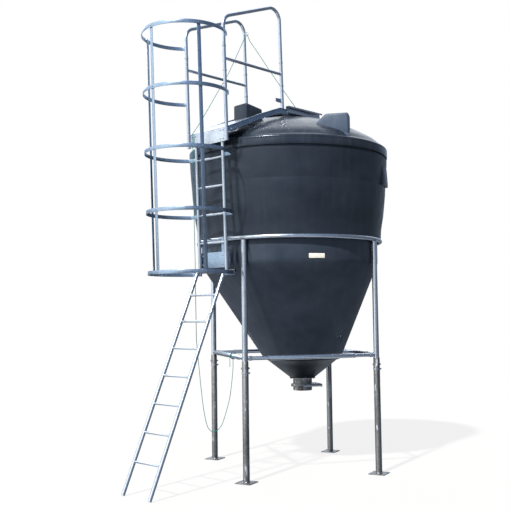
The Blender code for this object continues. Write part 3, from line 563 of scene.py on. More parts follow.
def copies(name, master, places):
    """Copies of one piece, each with a mesh of its own, put in place and joined; the first is used up."""
    made = []
    for place in places:
        select_only(master)
        bpy.ops.object.duplicate(linked=False)
        copy = bpy.context.object
        copy.matrix_world = place
        bpy.ops.object.transform_apply(location=True, rotation=True, scale=True)
        made.append(copy)
    bpy.data.objects.remove(master, do_unlink=True)
    return join(name, made)


def fasten(name, master, places, smooth=32.0):
    """Copies of one fastener, finished."""
    dress(copies(name, master, places), "fastener", smooth=smooth)


def welds(name, radius, bead, places):
    """Rings of weld of one size, a little uneven."""
    ring = begin("weld_bead", bpy.ops.mesh.primitive_torus_add, major_radius=radius, minor_radius=bead,
                 major_segments=28, minor_segments=8)
    bpy.ops.transform.vertex_random(offset=bead * 0.18, seed=4)
    return copies(name, close_piece(ring), places)


def lathe(name, profile, sides=144, solid=False):
    """A round piece raised ring by ring; each ring is its radius, height and shift from the tank's axis."""
    radius, height, shift = profile[0]
    piece = begin(name, bpy.ops.mesh.primitive_circle_add, vertices=sides, radius=radius,
                  location=at_tank(*shift, height))
    rings = profile[1:] if solid else [*profile[1:], profile[0]]
    for next_radius, next_height, next_shift in rings:
        pull((next_shift[0] - shift[0], next_shift[1] - shift[1], next_height - height))
        widen(next_radius / radius, at_tank(*next_shift, next_height))
        radius, height, shift = next_radius, next_height, next_shift
    if solid:
        bpy.ops.mesh.edge_face_add()
        cap_holes()
    weld_seams()
    return close_piece(piece)


def centred(rings, shift=(0.0, 0.0)):
    return [(radius, height, shift) for radius, height in rings]


def walled(outside):
    """The outside rings of a shell, and the inside ones back down to the start."""
    return outside + [(radius - WALL, *rest) for radius, *rest in reversed(outside)]


def arc_rings(radius, height, bend, start, end, steps):
    """Rings round a bend whose middle is at a radius and height; angles from straight out, upwards."""
    rings = []
    for step in range(steps + 1):
        angle = math.radians(start + (end - start) * step / steps)
        rings.append((radius + bend * math.cos(angle), height + bend * math.sin(angle)))
    return rings


def round_bar(name, start, end, radius, sides=32, bore=0.0):
    """A round bar, or a tube that is open for a little way at both ends."""
    start, end = Vector(start), Vector(end)
    run = end - start
    piece = begin(name, bpy.ops.mesh.primitive_cylinder_add, vertices=sides, radius=radius, depth=run.length,
                  location=(start + end) / 2, rotation=run.to_track_quat("Z", "Y").to_euler())
    for sign in (1, -1):
        pick_end(piece, sign)
        if bore:
            bpy.ops.mesh.inset(thickness=bore)
            pull(run.normalized() * (-sign * min(0.08, run.length * 0.4)))
        else:
            bpy.ops.mesh.bevel(offset=radius * 0.10, segments=2)
    return close_piece(piece)


def bent_tube(name, corners, bends, radius):
    """A tube through corner points, bent at each to a radius, and open for a little way at both ends."""
    way = corners[1] - corners[0]
    piece = begin(name, bpy.ops.mesh.primitive_circle_add, vertices=36, radius=radius, location=corners[0],
                  rotation=way.to_track_quat("Z", "Y").to_euler())
    here = corners[0]
    for before, corner, after, bend in zip(corners, corners[1:], corners[2:], bends):
        back, ahead = (before - corner).normalized(), (after - corner).normalized()
        half = back.angle(ahead) / 2
        start, end = corner + back * bend / math.tan(half), corner + ahead * bend / math.tan(half)
        centre = corner + (back + ahead).normalized() * bend / math.sin(half)
        pull(start - here)
        sweep(math.pi - 2 * half, centre, (start - centre).cross(end - centre).normalized(), 14)
        here = end
    pull(corners[-1] - here)
    for inward in (corners[-2] - corners[-1], way):
        bpy.ops.mesh.edge_face_add()
        bpy.ops.mesh.select_mode(type="FACE")
        bpy.ops.mesh.inset(thickness=TUBE_WALL)
        pull(inward.normalized() * 0.08)
        pick_open_edges()
    weld_seams()
    return close_piece(piece)


def plate(name, corners, thickness, edge=0.0010, segments=2):
    """A flat piece: an outline of corners, filled and pulled out by a thickness, its edges broken."""
    corners = [Vector(corner) for corner in corners]
    piece = begin_at(name, corners[0])
    for before, after in zip(corners, corners[1:]):
        pull(after - before)
    bpy.ops.mesh.select_all(action="SELECT")
    bpy.ops.mesh.edge_face_add()
    pull(Vector(thickness))
    weld_seams()
    close_piece(piece)
    if edge:
        soften(piece, edge, segments)
    return piece


def side_plate(name, outline, side, width, edge=0.0010, segments=2, place=at_roof):
    """A plate whose outline is given outward and up, at one side, and pulled sideways by a width."""
    corners = [place((out, side, height)) for out, height in outline]
    return plate(name, corners, ladder_way(0.0, width, 0.0), edge, segments)


def collar(name, radius, bore, height, sides):
    """A short open ring, upright round the origin, to be copied along a tube."""
    ring = begin(name, bpy.ops.mesh.primitive_cylinder_add, vertices=sides, radius=radius, depth=height,
                 location=(0, 0, 0), end_fill_type="NOTHING")
    pull((0, 0, 0))
    widen(bore / radius, (0, 0, 0))
    weld_seams()
    return close_piece(ring)


def blank(name, sides, radius, depth, foot, edge, segments=2):
    """A short upright cylinder or prism that stands at a height, its top edge broken."""
    piece = begin(name, bpy.ops.mesh.primitive_cylinder_add, vertices=sides, radius=radius, depth=depth,
                  location=(0, 0, foot + depth / 2))
    pick_end(piece)
    bpy.ops.mesh.bevel(offset=edge, segments=segments)
    return close_piece(piece)


def hex_bolt():
    """Washer and hexagon head, standing on the origin and facing up, for an M10 bolt."""
    return join("hex_bolt", [blank("washer", 24, 0.0105, 0.002, 0.0, 0.0005),
                             blank("head", 6, 0.0095, 0.0065, 0.002, 0.0012)])


def nut_end():
    """Washer, nut and the end of the thread, standing on the origin and facing up."""
    return join("nut_end", [hex_bolt(), blank("thread", 16, 0.005, 0.014, 0.0, 0.0010, segments=1)])


# Tank

def turn_drum():
    """The upper drum: it swells upwards from its shoulder, with a faint seam and a lug on the right."""
    outside = [(1.062, 2.5843), (1.0645, 2.620), (1.068, 2.680), (1.080, 2.760), (1.095, 2.840),
               (1.109, 2.960), (1.122, 3.090), (1.1264, 3.160), (1.1262, 3.167), (1.1266, 3.173),
               (1.1277, 3.180), (1.1345, 3.260), (1.143, 3.370), (1.1475, 3.440), (1.1490, 3.484),
               (1.1360, 3.489), (1.1360, 3.5117)]
    drum = lathe("drum_wall_moulded", centred(walled(outside)), sides=192)
    drum = join("drum_wall_moulded", [drum, drum_lug()])
    dress(drum, "black_plastic", ["drum_wall"], smooth=40.0)


def drum_lug():
    """A wedge for a lifting sling, flat underneath, that fades into the wall above."""
    out = level_way(-33.0)
    side = Vector((-out.y, out.x, 0.0)) * 0.155
    corners = [(1.104, 3.174), (1.148, 3.174), (1.147, 3.220), (1.138, 3.386), (1.118, 3.386)]
    outline = [TANK + out * radius + UP * height - side for radius, height in corners]
    return plate("drum_lug", outline, side * 2, edge=0.009)


def turn_hopper():
    """The hopper: a short band under the drum, then a smooth cone that leans towards the outlet."""
    outside = centred([(1.0200, 2.5837), (1.0200, 2.470), (1.0192, 2.330), (1.0165, 2.302), (1.0080, 2.280)])
    for step in range(1, 13):
        part = step / 12
        outside.append((1.008 - 0.546 * part, 2.280 - 1.035 * part, (OUTLET[0] * part, OUTLET[1] * part)))
    hopper = lathe("hopper_moulded", walled(outside), sides=192)
    # The hopper's paler finish is painted light.
    dress(hopper, "dusty_painted_light_hopper", ["hopper"], smooth=40.0)


def turn_outlet_cone():
    """The outlet cone: a rounded shoulder, a straight cone and the neck that the spout hangs from."""
    outside = [(0.4620, 1.2443), (0.4605, 1.2330), (0.4520, 1.2210), (0.4330, 1.2110), (0.4050, 1.2030),
               (0.3400, 1.1523), (0.2400, 1.0742), (0.1600, 1.0117), (0.1500, 1.0040), (0.1450, 1.0000)]
    cone = lathe("outlet_cone_moulded", centred(walled(outside), OUTLET))
    # The cone's darker finish is painted shade.
    dress(cone, "shaded_cone", ["outlet_cone"], smooth=40.0)


def turn_roof():
    """The roof: a rolled rim that laps the drum, a valley, the dome and the filling neck."""
    rim = [(1.1440, 3.5120), (1.1530, 3.5135), (1.1555, 3.5200), (1.1560, 3.5500), (1.1555, 3.5800)]
    roll = arc_rings(1.1280, 3.5950, 0.0280, -20.0, 105.0, 9)
    valley = [(1.1120, 3.6270), (1.1030, 3.6300), (1.0900, 3.6440), (1.0700, 3.6720)]
    dome = [(radius, dome_height(radius))
            for radius in (1.03, 0.98, 0.90, 0.80, 0.68, 0.56, 0.44, 0.34, 0.275)]
    neck = [(0.2520, dome_height(0.252) + 0.004), (0.2430, dome_height(0.243) + 0.016), (0.2400, 4.0440),
            (0.2400, 4.0680), (0.2380, 4.0700), (0.2300, 4.0700), (0.2280, 4.0680), (0.2280, 4.0050)]
    under = [(radius, dome_height(radius) - WALL) for radius in (0.25, 0.44, 0.68, 0.90, 1.02)]
    edge = [(1.0800, 3.6300), (1.1250, 3.6080), (1.1440, 3.5900)]
    roof = lathe("roof_moulded", centred(rim + roll + valley + dome + neck + under + edge), sides=192)
    # The upstand's pale finish is painted sunlight on its face, with dust.
    dress(join("rim_upstand_moulded", rim_upstand()), "dusty_painted_light_upstand", ["roof"], smooth=42.0)
    step = side_plate("step_upstand", [(0.78, 3.82), (0.52, 3.90), (0.52, 4.055), (0.78, 4.090)], 0.10, -0.21,
                      edge=0.022, segments=5)
    dress(join("roof_moulded", [roof, step]), "dusty_roof", ["roof"], smooth=42.0)


def rim_upstand():
    """The tall upstand at the rim, its far end sloped, with its parting line and spread foot."""
    along = level_way(152.0)
    across = Vector((along.y, -along.x, 0.0))
    corner = at_tank(0.350, -1.045, 0.0)

    def block(name, outline, back, width, edge, segments):
        face = [corner + along * run - across * back + UP * height for run, height in outline]
        return plate(name, face, across * width, edge, segments)

    body = [(0.0, 3.560), (0.385, 3.560), (0.385, 3.775), (0.250, 3.895), (0.0, 3.895)]
    foot = [(-0.010, 3.560), (0.392, 3.560), (0.392, 3.782), (0.372, 3.788), (0.180, 3.722), (-0.008, 3.660)]
    line = [corner + along * -0.0005 + across * 0.085 + UP * height for height in (3.665, 3.872)]
    return [block("rim_upstand_body", body, 0.0, 0.180, 0.022, 5),
            block("rim_upstand_foot", foot, 0.007, 0.190, 0.014, 4),
            round_bar("parting_line", *line, 0.0025, sides=12)]


def turn_lid():
    """The lid: a skirt over the neck, a rounded edge, a low crown and a flat boss for the rope."""
    under = [(0.030, 4.1180), (0.150, 4.1080), (0.226, 4.0823), (0.226, 4.0705), (0.244, 4.0703),
             (0.244, 4.0408)]
    over = [(0.2540, 4.0403), (0.2575, 4.0412), (0.2580, 4.0440), (0.2580, 4.0780), (0.2560, 4.0850),
            (0.2500, 4.0905), (0.2400, 4.0938), (0.2200, 4.0990), (0.1500, 4.1195), (0.0900, 4.1250),
            (0.0450, 4.1285), (0.0400, 4.1300)]
    lid = lathe("lid_moulded", centred(under + over), sides=128, solid=True)
    dress(lid, "black_plastic", ["lid"], smooth=40.0)


def mount_label():
    """A blank plate bent to the hopper's band, low on the side that faces the front."""
    inner, outer = 1.0203, 1.0223
    card = begin_at("blank_plate", TANK + level_way(-96.3) * inner + UP * 2.328)
    pull((0, 0, 0.050))
    bpy.ops.mesh.select_all(action="SELECT")
    sweep(math.radians(9.8), TANK, (0, 0, 1), 16)
    bpy.ops.mesh.select_all(action="SELECT")
    pull((0, 0, 0))
    widen(outer / inner, TANK)
    weld_seams()
    close_piece(card)
    soften(card, 0.0005)
    dress(card, "label", smooth=40.0)


def build_tank():
    turn_drum()
    turn_hopper()
    turn_outlet_cone()
    turn_roof()
    turn_lid()
    mount_label()


# Tube frame

def build_ring():
    """The ring under the drum, its stub on the right and the welds at the four legs."""
    ring = begin("top_ring_bent", bpy.ops.mesh.primitive_circle_add, vertices=40, radius=RING_TUBE,
                 location=at_tank(RING_RADIUS, 0.0, RING_HEIGHT), rotation=(math.radians(90), 0.0, 0.0))
    sweep(math.tau, TANK, (0, 0, 1), 192)
    weld_seams()
    dress(close_piece(ring), "galvanised_steel", ["top_ring"], smooth=50.0)
    foot = at_tank(RING_RADIUS, 0.0, RING_HEIGHT - STUB_LENGTH)
    top = foot + UP * (STUB_LENGTH - RING_TUBE - GAP)
    stub = round_bar("ring_stub_tube", foot, top, 0.025, sides=40, bore=TUBE_WALL)
    dress(stub, "galvanised_steel", ["ring_stub"])
    seats = [at_tank(x, y, RING_HEIGHT - RING_TUBE + 0.002) for x, y in LEGS.values()]
    stub_seat = foot + UP * (STUB_LENGTH - RING_TUBE + 0.001)
    for name, radius, bead, spots in (("ring_welds", 0.0285, 0.0045, seats),
                                      ("stub_weld", 0.0245, 0.0040, [stub_seat])):
        beads = welds(name, radius, bead, [aimed(spot, UP) for spot in spots])
        dress(beads, "weathered_steel", smooth=60.0)


def build_leg(name):
    """A leg in two lengths: a thinner tube that slides into a thicker one on a square foot plate."""
    x, y = LEGS[name]
    foot = at_tank(x, y, 0.0)
    ends = [foot + UP * height for height in (UPPER_LEG_FOOT, RING_HEIGHT - RING_TUBE - GAP)]
    upper = round_bar("upper_tube_" + name, *ends, UPPER_LEG_RADIUS, sides=48, bore=TUBE_WALL)
    inside = foot + Vector((0.0298 if x < 0 else -0.0298, 0, 0))
    seam = round_bar("seam_" + name, inside + UP * 1.290, inside + UP * 2.500, 0.0008, sides=8)
    upper = join("upper_tube_" + name, [upper, seam])
    dress(upper, "galvanised_steel", ["upper_leg_" + name], smooth=40.0)
    lower = join("lower_tube_" + name, [sleeve_tube(name, foot), foot_plate(name, foot), welds(
        "foot_weld_" + name, 0.0362, 0.0042, [aimed(foot + UP * 0.0118, UP)])])
    dress(lower, "weathered_steel", ["lower_leg_" + name], smooth=40.0)


def sleeve_tube(name, foot):
    """The lower tube, open for a way at its top, its rim rounded."""
    tube = begin("lower_tube_" + name, bpy.ops.mesh.primitive_circle_add, vertices=48,
                 radius=LOWER_LEG_RADIUS, location=foot + UP * 0.0101)
    pull((0, 0, 1.2439))
    for scale, rise in ((0.0345 / LOWER_LEG_RADIUS, 0.001), (0.0309 / 0.0345, 0.0), (0.0305 / 0.0309, -0.001),
                        (1.0, -0.300)):
        pull((0, 0, rise))
        widen(scale, foot + UP * LOWER_LEG_TOP)
    bpy.ops.mesh.edge_face_add()
    cap_holes()
    weld_seams()
    return close_piece(tube)


def foot_plate(name, foot):
    """The square plate under a leg, its corners towards the cross tubes, with four anchor holes."""
    ways = [level_way(90 * turn) for turn in range(4)]
    corners = [foot + way * (FOOT_PLATE_HALF * math.sqrt(2)) for way in ways]
    base = plate("foot_plate_" + name, corners, (0.0, 0.0, FOOT_PLATE_THICKNESS), edge=0.0)
    spots = [foot + way * ANCHOR_REACH for way in ways]
    cut(base, [round_bar("anchor_hole", spot - UP * 0.02, spot + UP * 0.04, ANCHOR_RADIUS, sides=24)
               for spot in spots])
    soften(base, 0.0012)
    return base


def build_cross_tube(name, start, end):
    """A cross tube between two legs, with the sleeve that is fixed round its middle."""
    start, end = at_tank(*start, CROSS_TUBE_HEIGHT), at_tank(*end, CROSS_TUBE_HEIGHT)
    way = (end - start).normalized()
    middle = (start + end) / 2
    tube = round_bar("cross_tube_bar_" + name, start, end, CROSS_TUBE_RADIUS, sides=40)
    half = way * SLEEVE_HALF_LENGTH
    sleeve = round_bar("cross_sleeve_" + name, middle - half, middle + half, SLEEVE_RADIUS, sides=40)
    both = join("cross_tube_bar_" + name, [tube, sleeve])
    dress(both, "galvanised_steel", ["cross_tube_" + name], smooth=40.0)
    rims = welds("sleeve_ends_" + name, 0.0262, 0.0018,
                 [aimed(middle + way * (0.489 * sign), way) for sign in (1, -1)])
    dress(rims, "weathered_steel", smooth=60.0)
    clips = [aimed(start + way * 0.012, way), aimed(end - way * 0.012, -way)]
    fasten("tube_clips_" + name, tube_clip(), clips, smooth=35.0)


def tube_clip():
    """The small collar that holds a cross tube's end at its leg."""
    clip = begin("tube_clip", bpy.ops.mesh.primitive_cylinder_add, vertices=32, radius=0.0245, depth=0.030,
                 location=(0, 0, 0.018))
    for sign in (1, -1):
        pick_end(clip, sign)
        bpy.ops.mesh.inset(thickness=0.0035)
        pull((0, 0, -0.002 * sign))
    return close_piece(clip)


def fix_legs():
    """A bolt right through each leg's overlap, and a narrow band clamped round it just below."""
    axes = [at_tank(x, y, 0.0) for x, y in LEGS.values()]
    for name, master, way in (("leg_bolt_heads", hex_bolt, -1), ("leg_bolt_nuts", nut_end, 1)):
        spot = Vector((0.0348 * way, 0, LEG_BOLT_HEIGHT))
        fasten(name, master(), [aimed(axis + spot, (way, 0, 0), 1.15) for axis in axes])
    fasten("leg_bands", leg_band(), [aimed(axis + UP * LEG_BAND_HEIGHT, UP) for axis in axes], smooth=40.0)


def leg_band():
    """A narrow band of steel round a lower tube, 18 mm wide, with its lug."""
    band = collar("leg_band", 0.0378, 0.0352, 0.018, 48)
    lug = begin("band_lug", bpy.ops.mesh.primitive_cube_add, size=1.0, location=(-0.0445, 0.0, 0.0),
                scale=(0.017, 0.011, 0.018))
    bpy.ops.mesh.bevel(offset=0.002, segments=2)
    return join("leg_band", [band, close_piece(lug)])


def build_frame():
    build_ring()
    for name in LEGS:
        build_leg(name)
    reach = LEG_OFFSET - 0.0303
    build_cross_tube("front", (-reach, -LEG_OFFSET), (reach, -LEG_OFFSET))
    build_cross_tube("rear", (-reach, LEG_OFFSET), (reach, LEG_OFFSET))
    build_cross_tube("left", (-LEG_OFFSET, -reach), (-LEG_OFFSET, reach))
    build_cross_tube("right", (LEG_OFFSET, -reach), (LEG_OFFSET, reach))
    fix_legs()


# Spout and slide gate

SPOUT_BORE = 0.1060
GATE_MIDDLE = 0.9097
GATE_BODY_TOP = 0.9247
PULL_BAR_SIDE = -0.146


def at_outlet(out, side, height):
    """A place given from the outlet's axis, outward along the gate, sideways and up."""
    return at_tank(OUTLET[0], OUTLET[1], 0.0) + Vector((out, side, height))


def turn_spout():
    """The spout under the outlet cone, with its flange."""
    flange = [(0.1500, 0.9920), (0.1500, 0.9990), (0.1490, 0.9997), (0.1070, 0.9997), (0.1060, 0.9990),
              (0.1060, 0.9255), (0.1065, 0.9250), (0.1095, 0.9250), (0.1100, 0.9255), (0.1100, 0.9890),
              (0.1112, 0.9912), (0.1130, 0.9917), (0.1490, 0.9917)]
    spout = lathe("spout_turned", centred(flange, OUTLET), sides=96)
    dress(spout, "weathered_steel", ["spout"], smooth=35.0)


def round_backed(name, half_width, back, front, low, high, edge=0.0):
    """A flat piece on the outlet's axis whose back end is half a circle."""
    turns = [math.pi / 2 + math.pi * step / 32 for step in range(33)]
    outline = [(back + half_width * (1 + math.cos(turn)), half_width * math.sin(turn)) for turn in turns]
    outline += [(front, -half_width), (front, half_width)]
    return plate(name, [at_outlet(out, side, low) for out, side in outline], (0, 0, high - low), edge)


def build_gate_frame():
    """The welded body that the gate slides in, open at the front, with a round chute below."""
    body = round_backed("gate_frame_body", 0.130, -0.135, 0.170, 0.8947, GATE_BODY_TOP)
    slot = round_backed("slot", 0.1200, -0.1240, 0.260, 0.9067, 0.9127)
    cut(body, [slot, round_bar("bore", at_outlet(0, 0, 0.830), at_outlet(0, 0, 0.960), SPOUT_BORE, sides=96)])
    soften(body, 0.0015)
    rings = [(SPOUT_BORE, 0.8945), (0.1100, 0.8945), (0.1100, 0.8530), (0.1108, 0.8505), (0.1100, 0.8500),
             (0.1064, 0.8500), (SPOUT_BORE, 0.8510)]
    chute = lathe("chute", centred(rings, OUTLET), sides=96)
    bead = welds("chute_weld", 0.1112, 0.0035, [aimed(at_outlet(0, 0, 0.8935), UP)])
    whole = join("gate_frame_body", [body, chute, bead])
    dress(whole, "weathered_steel", ["gate_frame"], smooth=35.0)


def fix_gate_strap():
    """The rusty bracket at the gate body's side with its bolt, and three bolts on top of the body."""
    outline = [(-0.095, 0.8945), (-0.045, 0.8945), (-0.045, 0.8560), (-0.062, 0.8520), (-0.095, 0.8600)]
    strap = plate("gate_strap", [at_outlet(out, -0.1135, height) for out, height in outline],
                  (0.0, -0.014, 0.0), edge=0.0014)
    places = [aimed(at_outlet(-0.070, -0.1275, 0.881), (0, -1, 0), 0.95)]
    for out, side in ((-0.060, -0.100), (0.075, -0.118), (0.075, 0.118)):
        places.append(aimed(at_outlet(out, side, GATE_BODY_TOP), UP, 0.9))
    bolts = copies("gate_strap_bolts", hex_bolt(), places)
    dress(strap, "rusty_steel", smooth=35.0)
    dress(bolts, "fastener")


def build_slide_gate():
    """The gate's plate, its turned-up end and the round bar that it is pulled by."""
    blade = round_backed("gate_blade", 0.118, -0.118, 0.187, 0.9077, 0.9117, edge=0.0006)
    face = plate("gate_face", [at_outlet(0.182, side, GATE_MIDDLE + rise) for side, rise in (
        (-0.164, -0.018), (0.098, -0.018), (0.098, 0.018), (-0.164, 0.018))], (0.005, 0, 0), edge=0.0012)
    ends = [at_outlet(out, PULL_BAR_SIDE, GATE_MIDDLE) for out in (-0.040, 0.183)]
    bar = round_bar("pull_bar", *ends, 0.011, sides=28, bore=0.0022)
    seat = aimed(at_outlet(0.180, PULL_BAR_SIDE, GATE_MIDDLE), (1, 0, 0))
    bead = welds("pull_bar_weld", 0.0112, 0.0026, [seat])
    gate = join("gate_blade", [blade, face, bar, bead])
    dress(gate, "bright_rod", ["slide_gate"], body="gate", smooth=38.0)


def build_outlet():
    turn_spout()
    build_gate_frame()
    fix_gate_strap()
    build_slide_gate()
    middle = at_outlet(0, 0, 0.9917)
    fasten("flange_bolts", nut_end(), [aimed(middle + level_way(45 + 60 * turn) * 0.132, (0, 0, -1))
                                       for turn in range(6)])


# Ladder and cage

def join_ladder(name, feet, tops, rungs, replaces):
    """Two stiles with their rungs let into them, and a weld round each rung's end."""
    stiles = [round_bar(name, *ends, STILE_RADIUS, sides=36, bore=TUBE_WALL) for ends in zip(feet, tops)]
    bars, places = [], []
    for left, right in rungs:
        way = (right - left).normalized()
        bars.append(round_bar("rung", left, right, RUNG_RADIUS, sides=24))
        inset = way * STILE_RADIUS * 0.92
        places += [aimed(left + inset, way), aimed(right - inset, -way)]
    whole = join(name, [*stiles, *bars, welds("rung_welds", RUNG_RADIUS, 0.0026, places)])
    dress(whole, "galvanised_steel", replaces, smooth=45.0)


def lower_ladder_line():
    """Foot, direction and length of a lower stile, whose top end touches the upper stile."""
    angle = 0.42
    for _ in range(8):
        top_out = LADDER_OUT + STILE_RADIUS + GAP + STILE_RADIUS * math.cos(angle)
        angle = math.atan2(LOWER_FOOT_OUT - top_out, LADDER_FOOT)
    climb = Vector((-math.sin(angle), 0, math.cos(angle)))
    shortened = STILE_RADIUS * math.tan(angle)
    foot = Vector((LOWER_FOOT_OUT, 0, 0)) + climb * shortened
    return foot, climb, math.hypot(LOWER_FOOT_OUT - top_out, LADDER_FOOT) - shortened


def build_ladders():
    sides = (-LADDER_HALF_WIDTH, LADDER_HALF_WIDTH)

    def pair(out, height, place=at_ladder):
        return [place((out, side, height)) for side in sides]

    rungs = [pair(LADDER_OUT, UPPER_FIRST_RUNG + RUNG_SPACING * step) for step in range(4)]
    feet, tops = [pair(LADDER_OUT, height) for height in UPPER_LADDER_ENDS]
    join_ladder("upper_ladder_tubes", feet, tops, rungs, ["upper_ladder"])
    foot, climb, length = lower_ladder_line()
    top = foot + climb * length
    steps = [Vector((LOWER_FOOT_OUT, 0, 0)) + climb * (LOWER_FIRST_RUNG + RUNG_SPACING * step)
             for step in range(7)]
    feet, tops, *rungs = [pair(spot.x, spot.z, at_roof) for spot in (foot, top, *steps)]
    join_ladder("lower_ladder_tubes", feet, tops, rungs, ["lower_ladder"])


def build_ladder_bar():
    """The bar across the foot of the upper ladder, behind its stiles."""
    radius = 0.016
    out = LADDER_OUT - STILE_RADIUS - radius - 2 * GAP
    ends = [at_roof((out, side, 2.205)) for side in (-0.300, 0.300)]
    bar = round_bar("ladder_bar_tube", *ends, radius, bore=0.0025)
    dress(bar, "weathered_steel", ["ladder_bar"])


def build_ladder_plate():
    """The plate behind the stiles, with its two arms to the ring."""
    thickness, arm_width = 0.006, 0.036
    face = LADDER_OUT - STILE_RADIUS - GAP
    back = face - thickness
    corners = [(face, -0.230, 2.245), (face, 0.230, 2.245), (face, 0.230, 2.410), (face, -0.230, 2.410)]
    pieces = [plate("ladder_plate_bolted", [at_ladder(corner) for corner in corners],
                    ladder_way(-thickness, 0.0, 0.0), edge=0.0012)]
    end = back + LADDER_LEAN * (RING_HEIGHT - LADDER_FOOT)
    reach = RING_RADIUS + RING_TUBE * 0.97
    upright = [(back - thickness, 2.265), (back + 0.001, 2.265), (back + 0.001, 2.568),
               (back - thickness, 2.568)]
    arm = [(reach, 2.556), (end, 2.556), (end, 2.564), (reach, 2.564)]
    for side in (-0.130, 0.130):
        low = side - arm_width / 2
        pieces.append(side_plate("upright", upright, low, arm_width, place=at_ladder))
        pieces.append(side_plate("arm", arm, low, arm_width))
    dress(join("ladder_plate_bolted", pieces), "cage_steel", ["ladder_plate"])


def hoop_height(number):
    return HOOP_LOWEST + HOOP_SPACING * (number - 1)


def bend_hoop(number):
    """One hoop of the cage: a flat bar on edge, straight from its fixing and then bent round."""
    height = hoop_height(number)
    on_posts = height > RAIL_FOOT
    lean = LADDER_LEAN * (height - LADDER_FOOT)
    out = (RAIL_OUT if on_posts else LADDER_OUT) + lean
    end = (RAIL_HALF_SPACING if on_posts else LADDER_HALF_WIDTH) + STILE_RADIUS + GAP
    reach = math.acos((out - lean - HOOP_OUT) / HOOP_RADIUS)
    bend = HOOP_RADIUS * math.sin(reach)
    start = at_roof((out, -end, height - BAR_HALF_WIDTH))
    hoop = begin_at("cage_hoop_bent_%d" % number, start)
    pull((0, 0, 2 * BAR_HALF_WIDTH))
    bpy.ops.mesh.select_all(action="SELECT")
    pull(at_roof((out, -bend, height - BAR_HALF_WIDTH)) - start)
    sweep(2 * reach, at_roof((HOOP_OUT + lean, 0.0, height)), (0, 0, 1), 96)
    pull(at_roof((out, end, height)) - at_roof((out, bend, height)))
    weld_seams()
    close_piece(hoop)
    bar = hoop.modifiers.new("bar", "SOLIDIFY")
    bar.thickness = BAR_THICKNESS
    bar.offset = 0.0
    bar.use_even_offset = True
    bpy.ops.object.modifier_apply(modifier=bar.name)
    soften(hoop, 0.0009)
    dress(hoop, "cage_steel", ["cage_hoop_%d" % number], smooth=40.0)


def cage_bar_section(angle, height):
    """The four corners of a cage bar's section at a height, where it lies inside the hoops."""
    outer = HOOP_RADIUS * math.cos(CAGE_BAR_ANGLE / 12) - BAR_THICKNESS / 2 - GAP
    inner, wide = outer - BAR_THICKNESS, BAR_HALF_WIDTH
    corners = []
    for depth, width in ((inner, -wide), (outer, -wide), (outer, wide), (inner, wide)):
        out = HOOP_OUT + depth * math.cos(angle) - width * math.sin(angle)
        corners.append(at_ladder((out, depth * math.sin(angle) + width * math.cos(angle), height)))
    return corners


def build_cage():
    for number in range(1, 6):
        bend_hoop(number)
    low, high = hoop_height(1) - BAR_HALF_WIDTH, hoop_height(5) + BAR_HALF_WIDTH
    for name, angle in (("left", -CAGE_BAR_ANGLE), ("middle", 0.0), ("right", CAGE_BAR_ANGLE)):
        bar = plate("cage_strap_" + name, cage_bar_section(angle, low),
                    at_ladder((0, 0, high)) - at_ladder((0, 0, low)), edge=0.0009)
        dress(bar, "cage_steel", ["cage_bar_" + name])


# Handrails and the steelwork on the roof

def build_handrail(name, side):
    """An inverted U of bent tube from the ladder's top to the beam's foot, with its mid rail."""
    inner = RAIL_IN[name]
    line = ((RAIL_OUT, RAIL_FOOT), (RAIL_OUT, RAIL_TOP),
            (inner, RAIL_TOP + RAIL_TOP_SLOPE * (RAIL_OUT - inner)), (inner, RAIL_INNER_END))
    corners = [at_ladder((out, side, height)) for out, height in line]
    rail = bent_tube("handrail_bent_" + name, corners, [0.140, 0.120], RAIL_RADIUS)
    start, end = [at_ladder((out, side, MID_RAIL_HEIGHT)) for out in (RAIL_OUT, inner)]
    way = (end - start).normalized()
    middle = round_bar("mid_rail", start + way * 0.012, end - way * 0.012, MID_RAIL_RADIUS)
    beads = welds("mid_rail_welds", 0.0168, 0.003,
                  [aimed(start + way * 0.0185, way), aimed(end - way * 0.0185, -way)])
    rail = join("handrail_bent_" + name, [rail, middle, beads])
    dress(rail, "galvanised_steel", ["handrail_" + name], smooth=45.0)


def build_roof_beam(name, side):
    """The bent beam from the handrail's outer post up to the channel: a web between two flanges."""
    pieces = []
    for low, high, half in ((-0.060, -0.0535, 0.020), (-0.055, -0.005, 0.014), (-0.0065, 0.0, 0.020)):
        outline = [(out, height + high) for out, height in BEAM_LINE]
        outline += [(out, height + low) for out, height in reversed(BEAM_LINE)]
        pieces.append(side_plate("beam_length", outline, side - half, 2 * half, edge=0.0012))
    dress(join("roof_beam_bent_" + name, pieces), "cage_steel", ["roof_beam_" + name])


def build_roof_channel(name, side):
    """The open channel beside the filling neck, its slot and turned-in lips away from the neck."""
    facing = 1 if side > 0 else -1
    half, depth, sheet, hem = 0.0225, 0.080, 0.005, 0.018
    inner, outer = side - facing * half, side + facing * half
    foot = dome_height(abs(inner)) + GAP
    top = foot + depth
    back, lip = inner + facing * sheet, outer - facing * sheet
    outline = [(inner, foot), (outer, foot), (outer, foot + hem), (lip, foot + hem), (lip, foot + sheet),
               (back, foot + sheet), (back, top - sheet), (lip, top - sheet), (lip, top - hem),
               (outer, top - hem), (outer, top), (inner, top)]
    corners = [at_roof((CHANNEL_BACK, width, height)) for width, height in outline]
    channel = plate("roof_channel_rolled_" + name, corners, ladder_way(CHANNEL_LENGTH, 0.0, 0.0), edge=0.0012)
    dress(channel, "galvanised_steel", ["roof_channel_" + name])


def step_face():
    """How far out the step plate's riser stands, at the plate's fold."""
    return LADDER_OUT + STILE_RADIUS + GAP + LADDER_LEAN * (STEP_TOP - LADDER_FOOT)


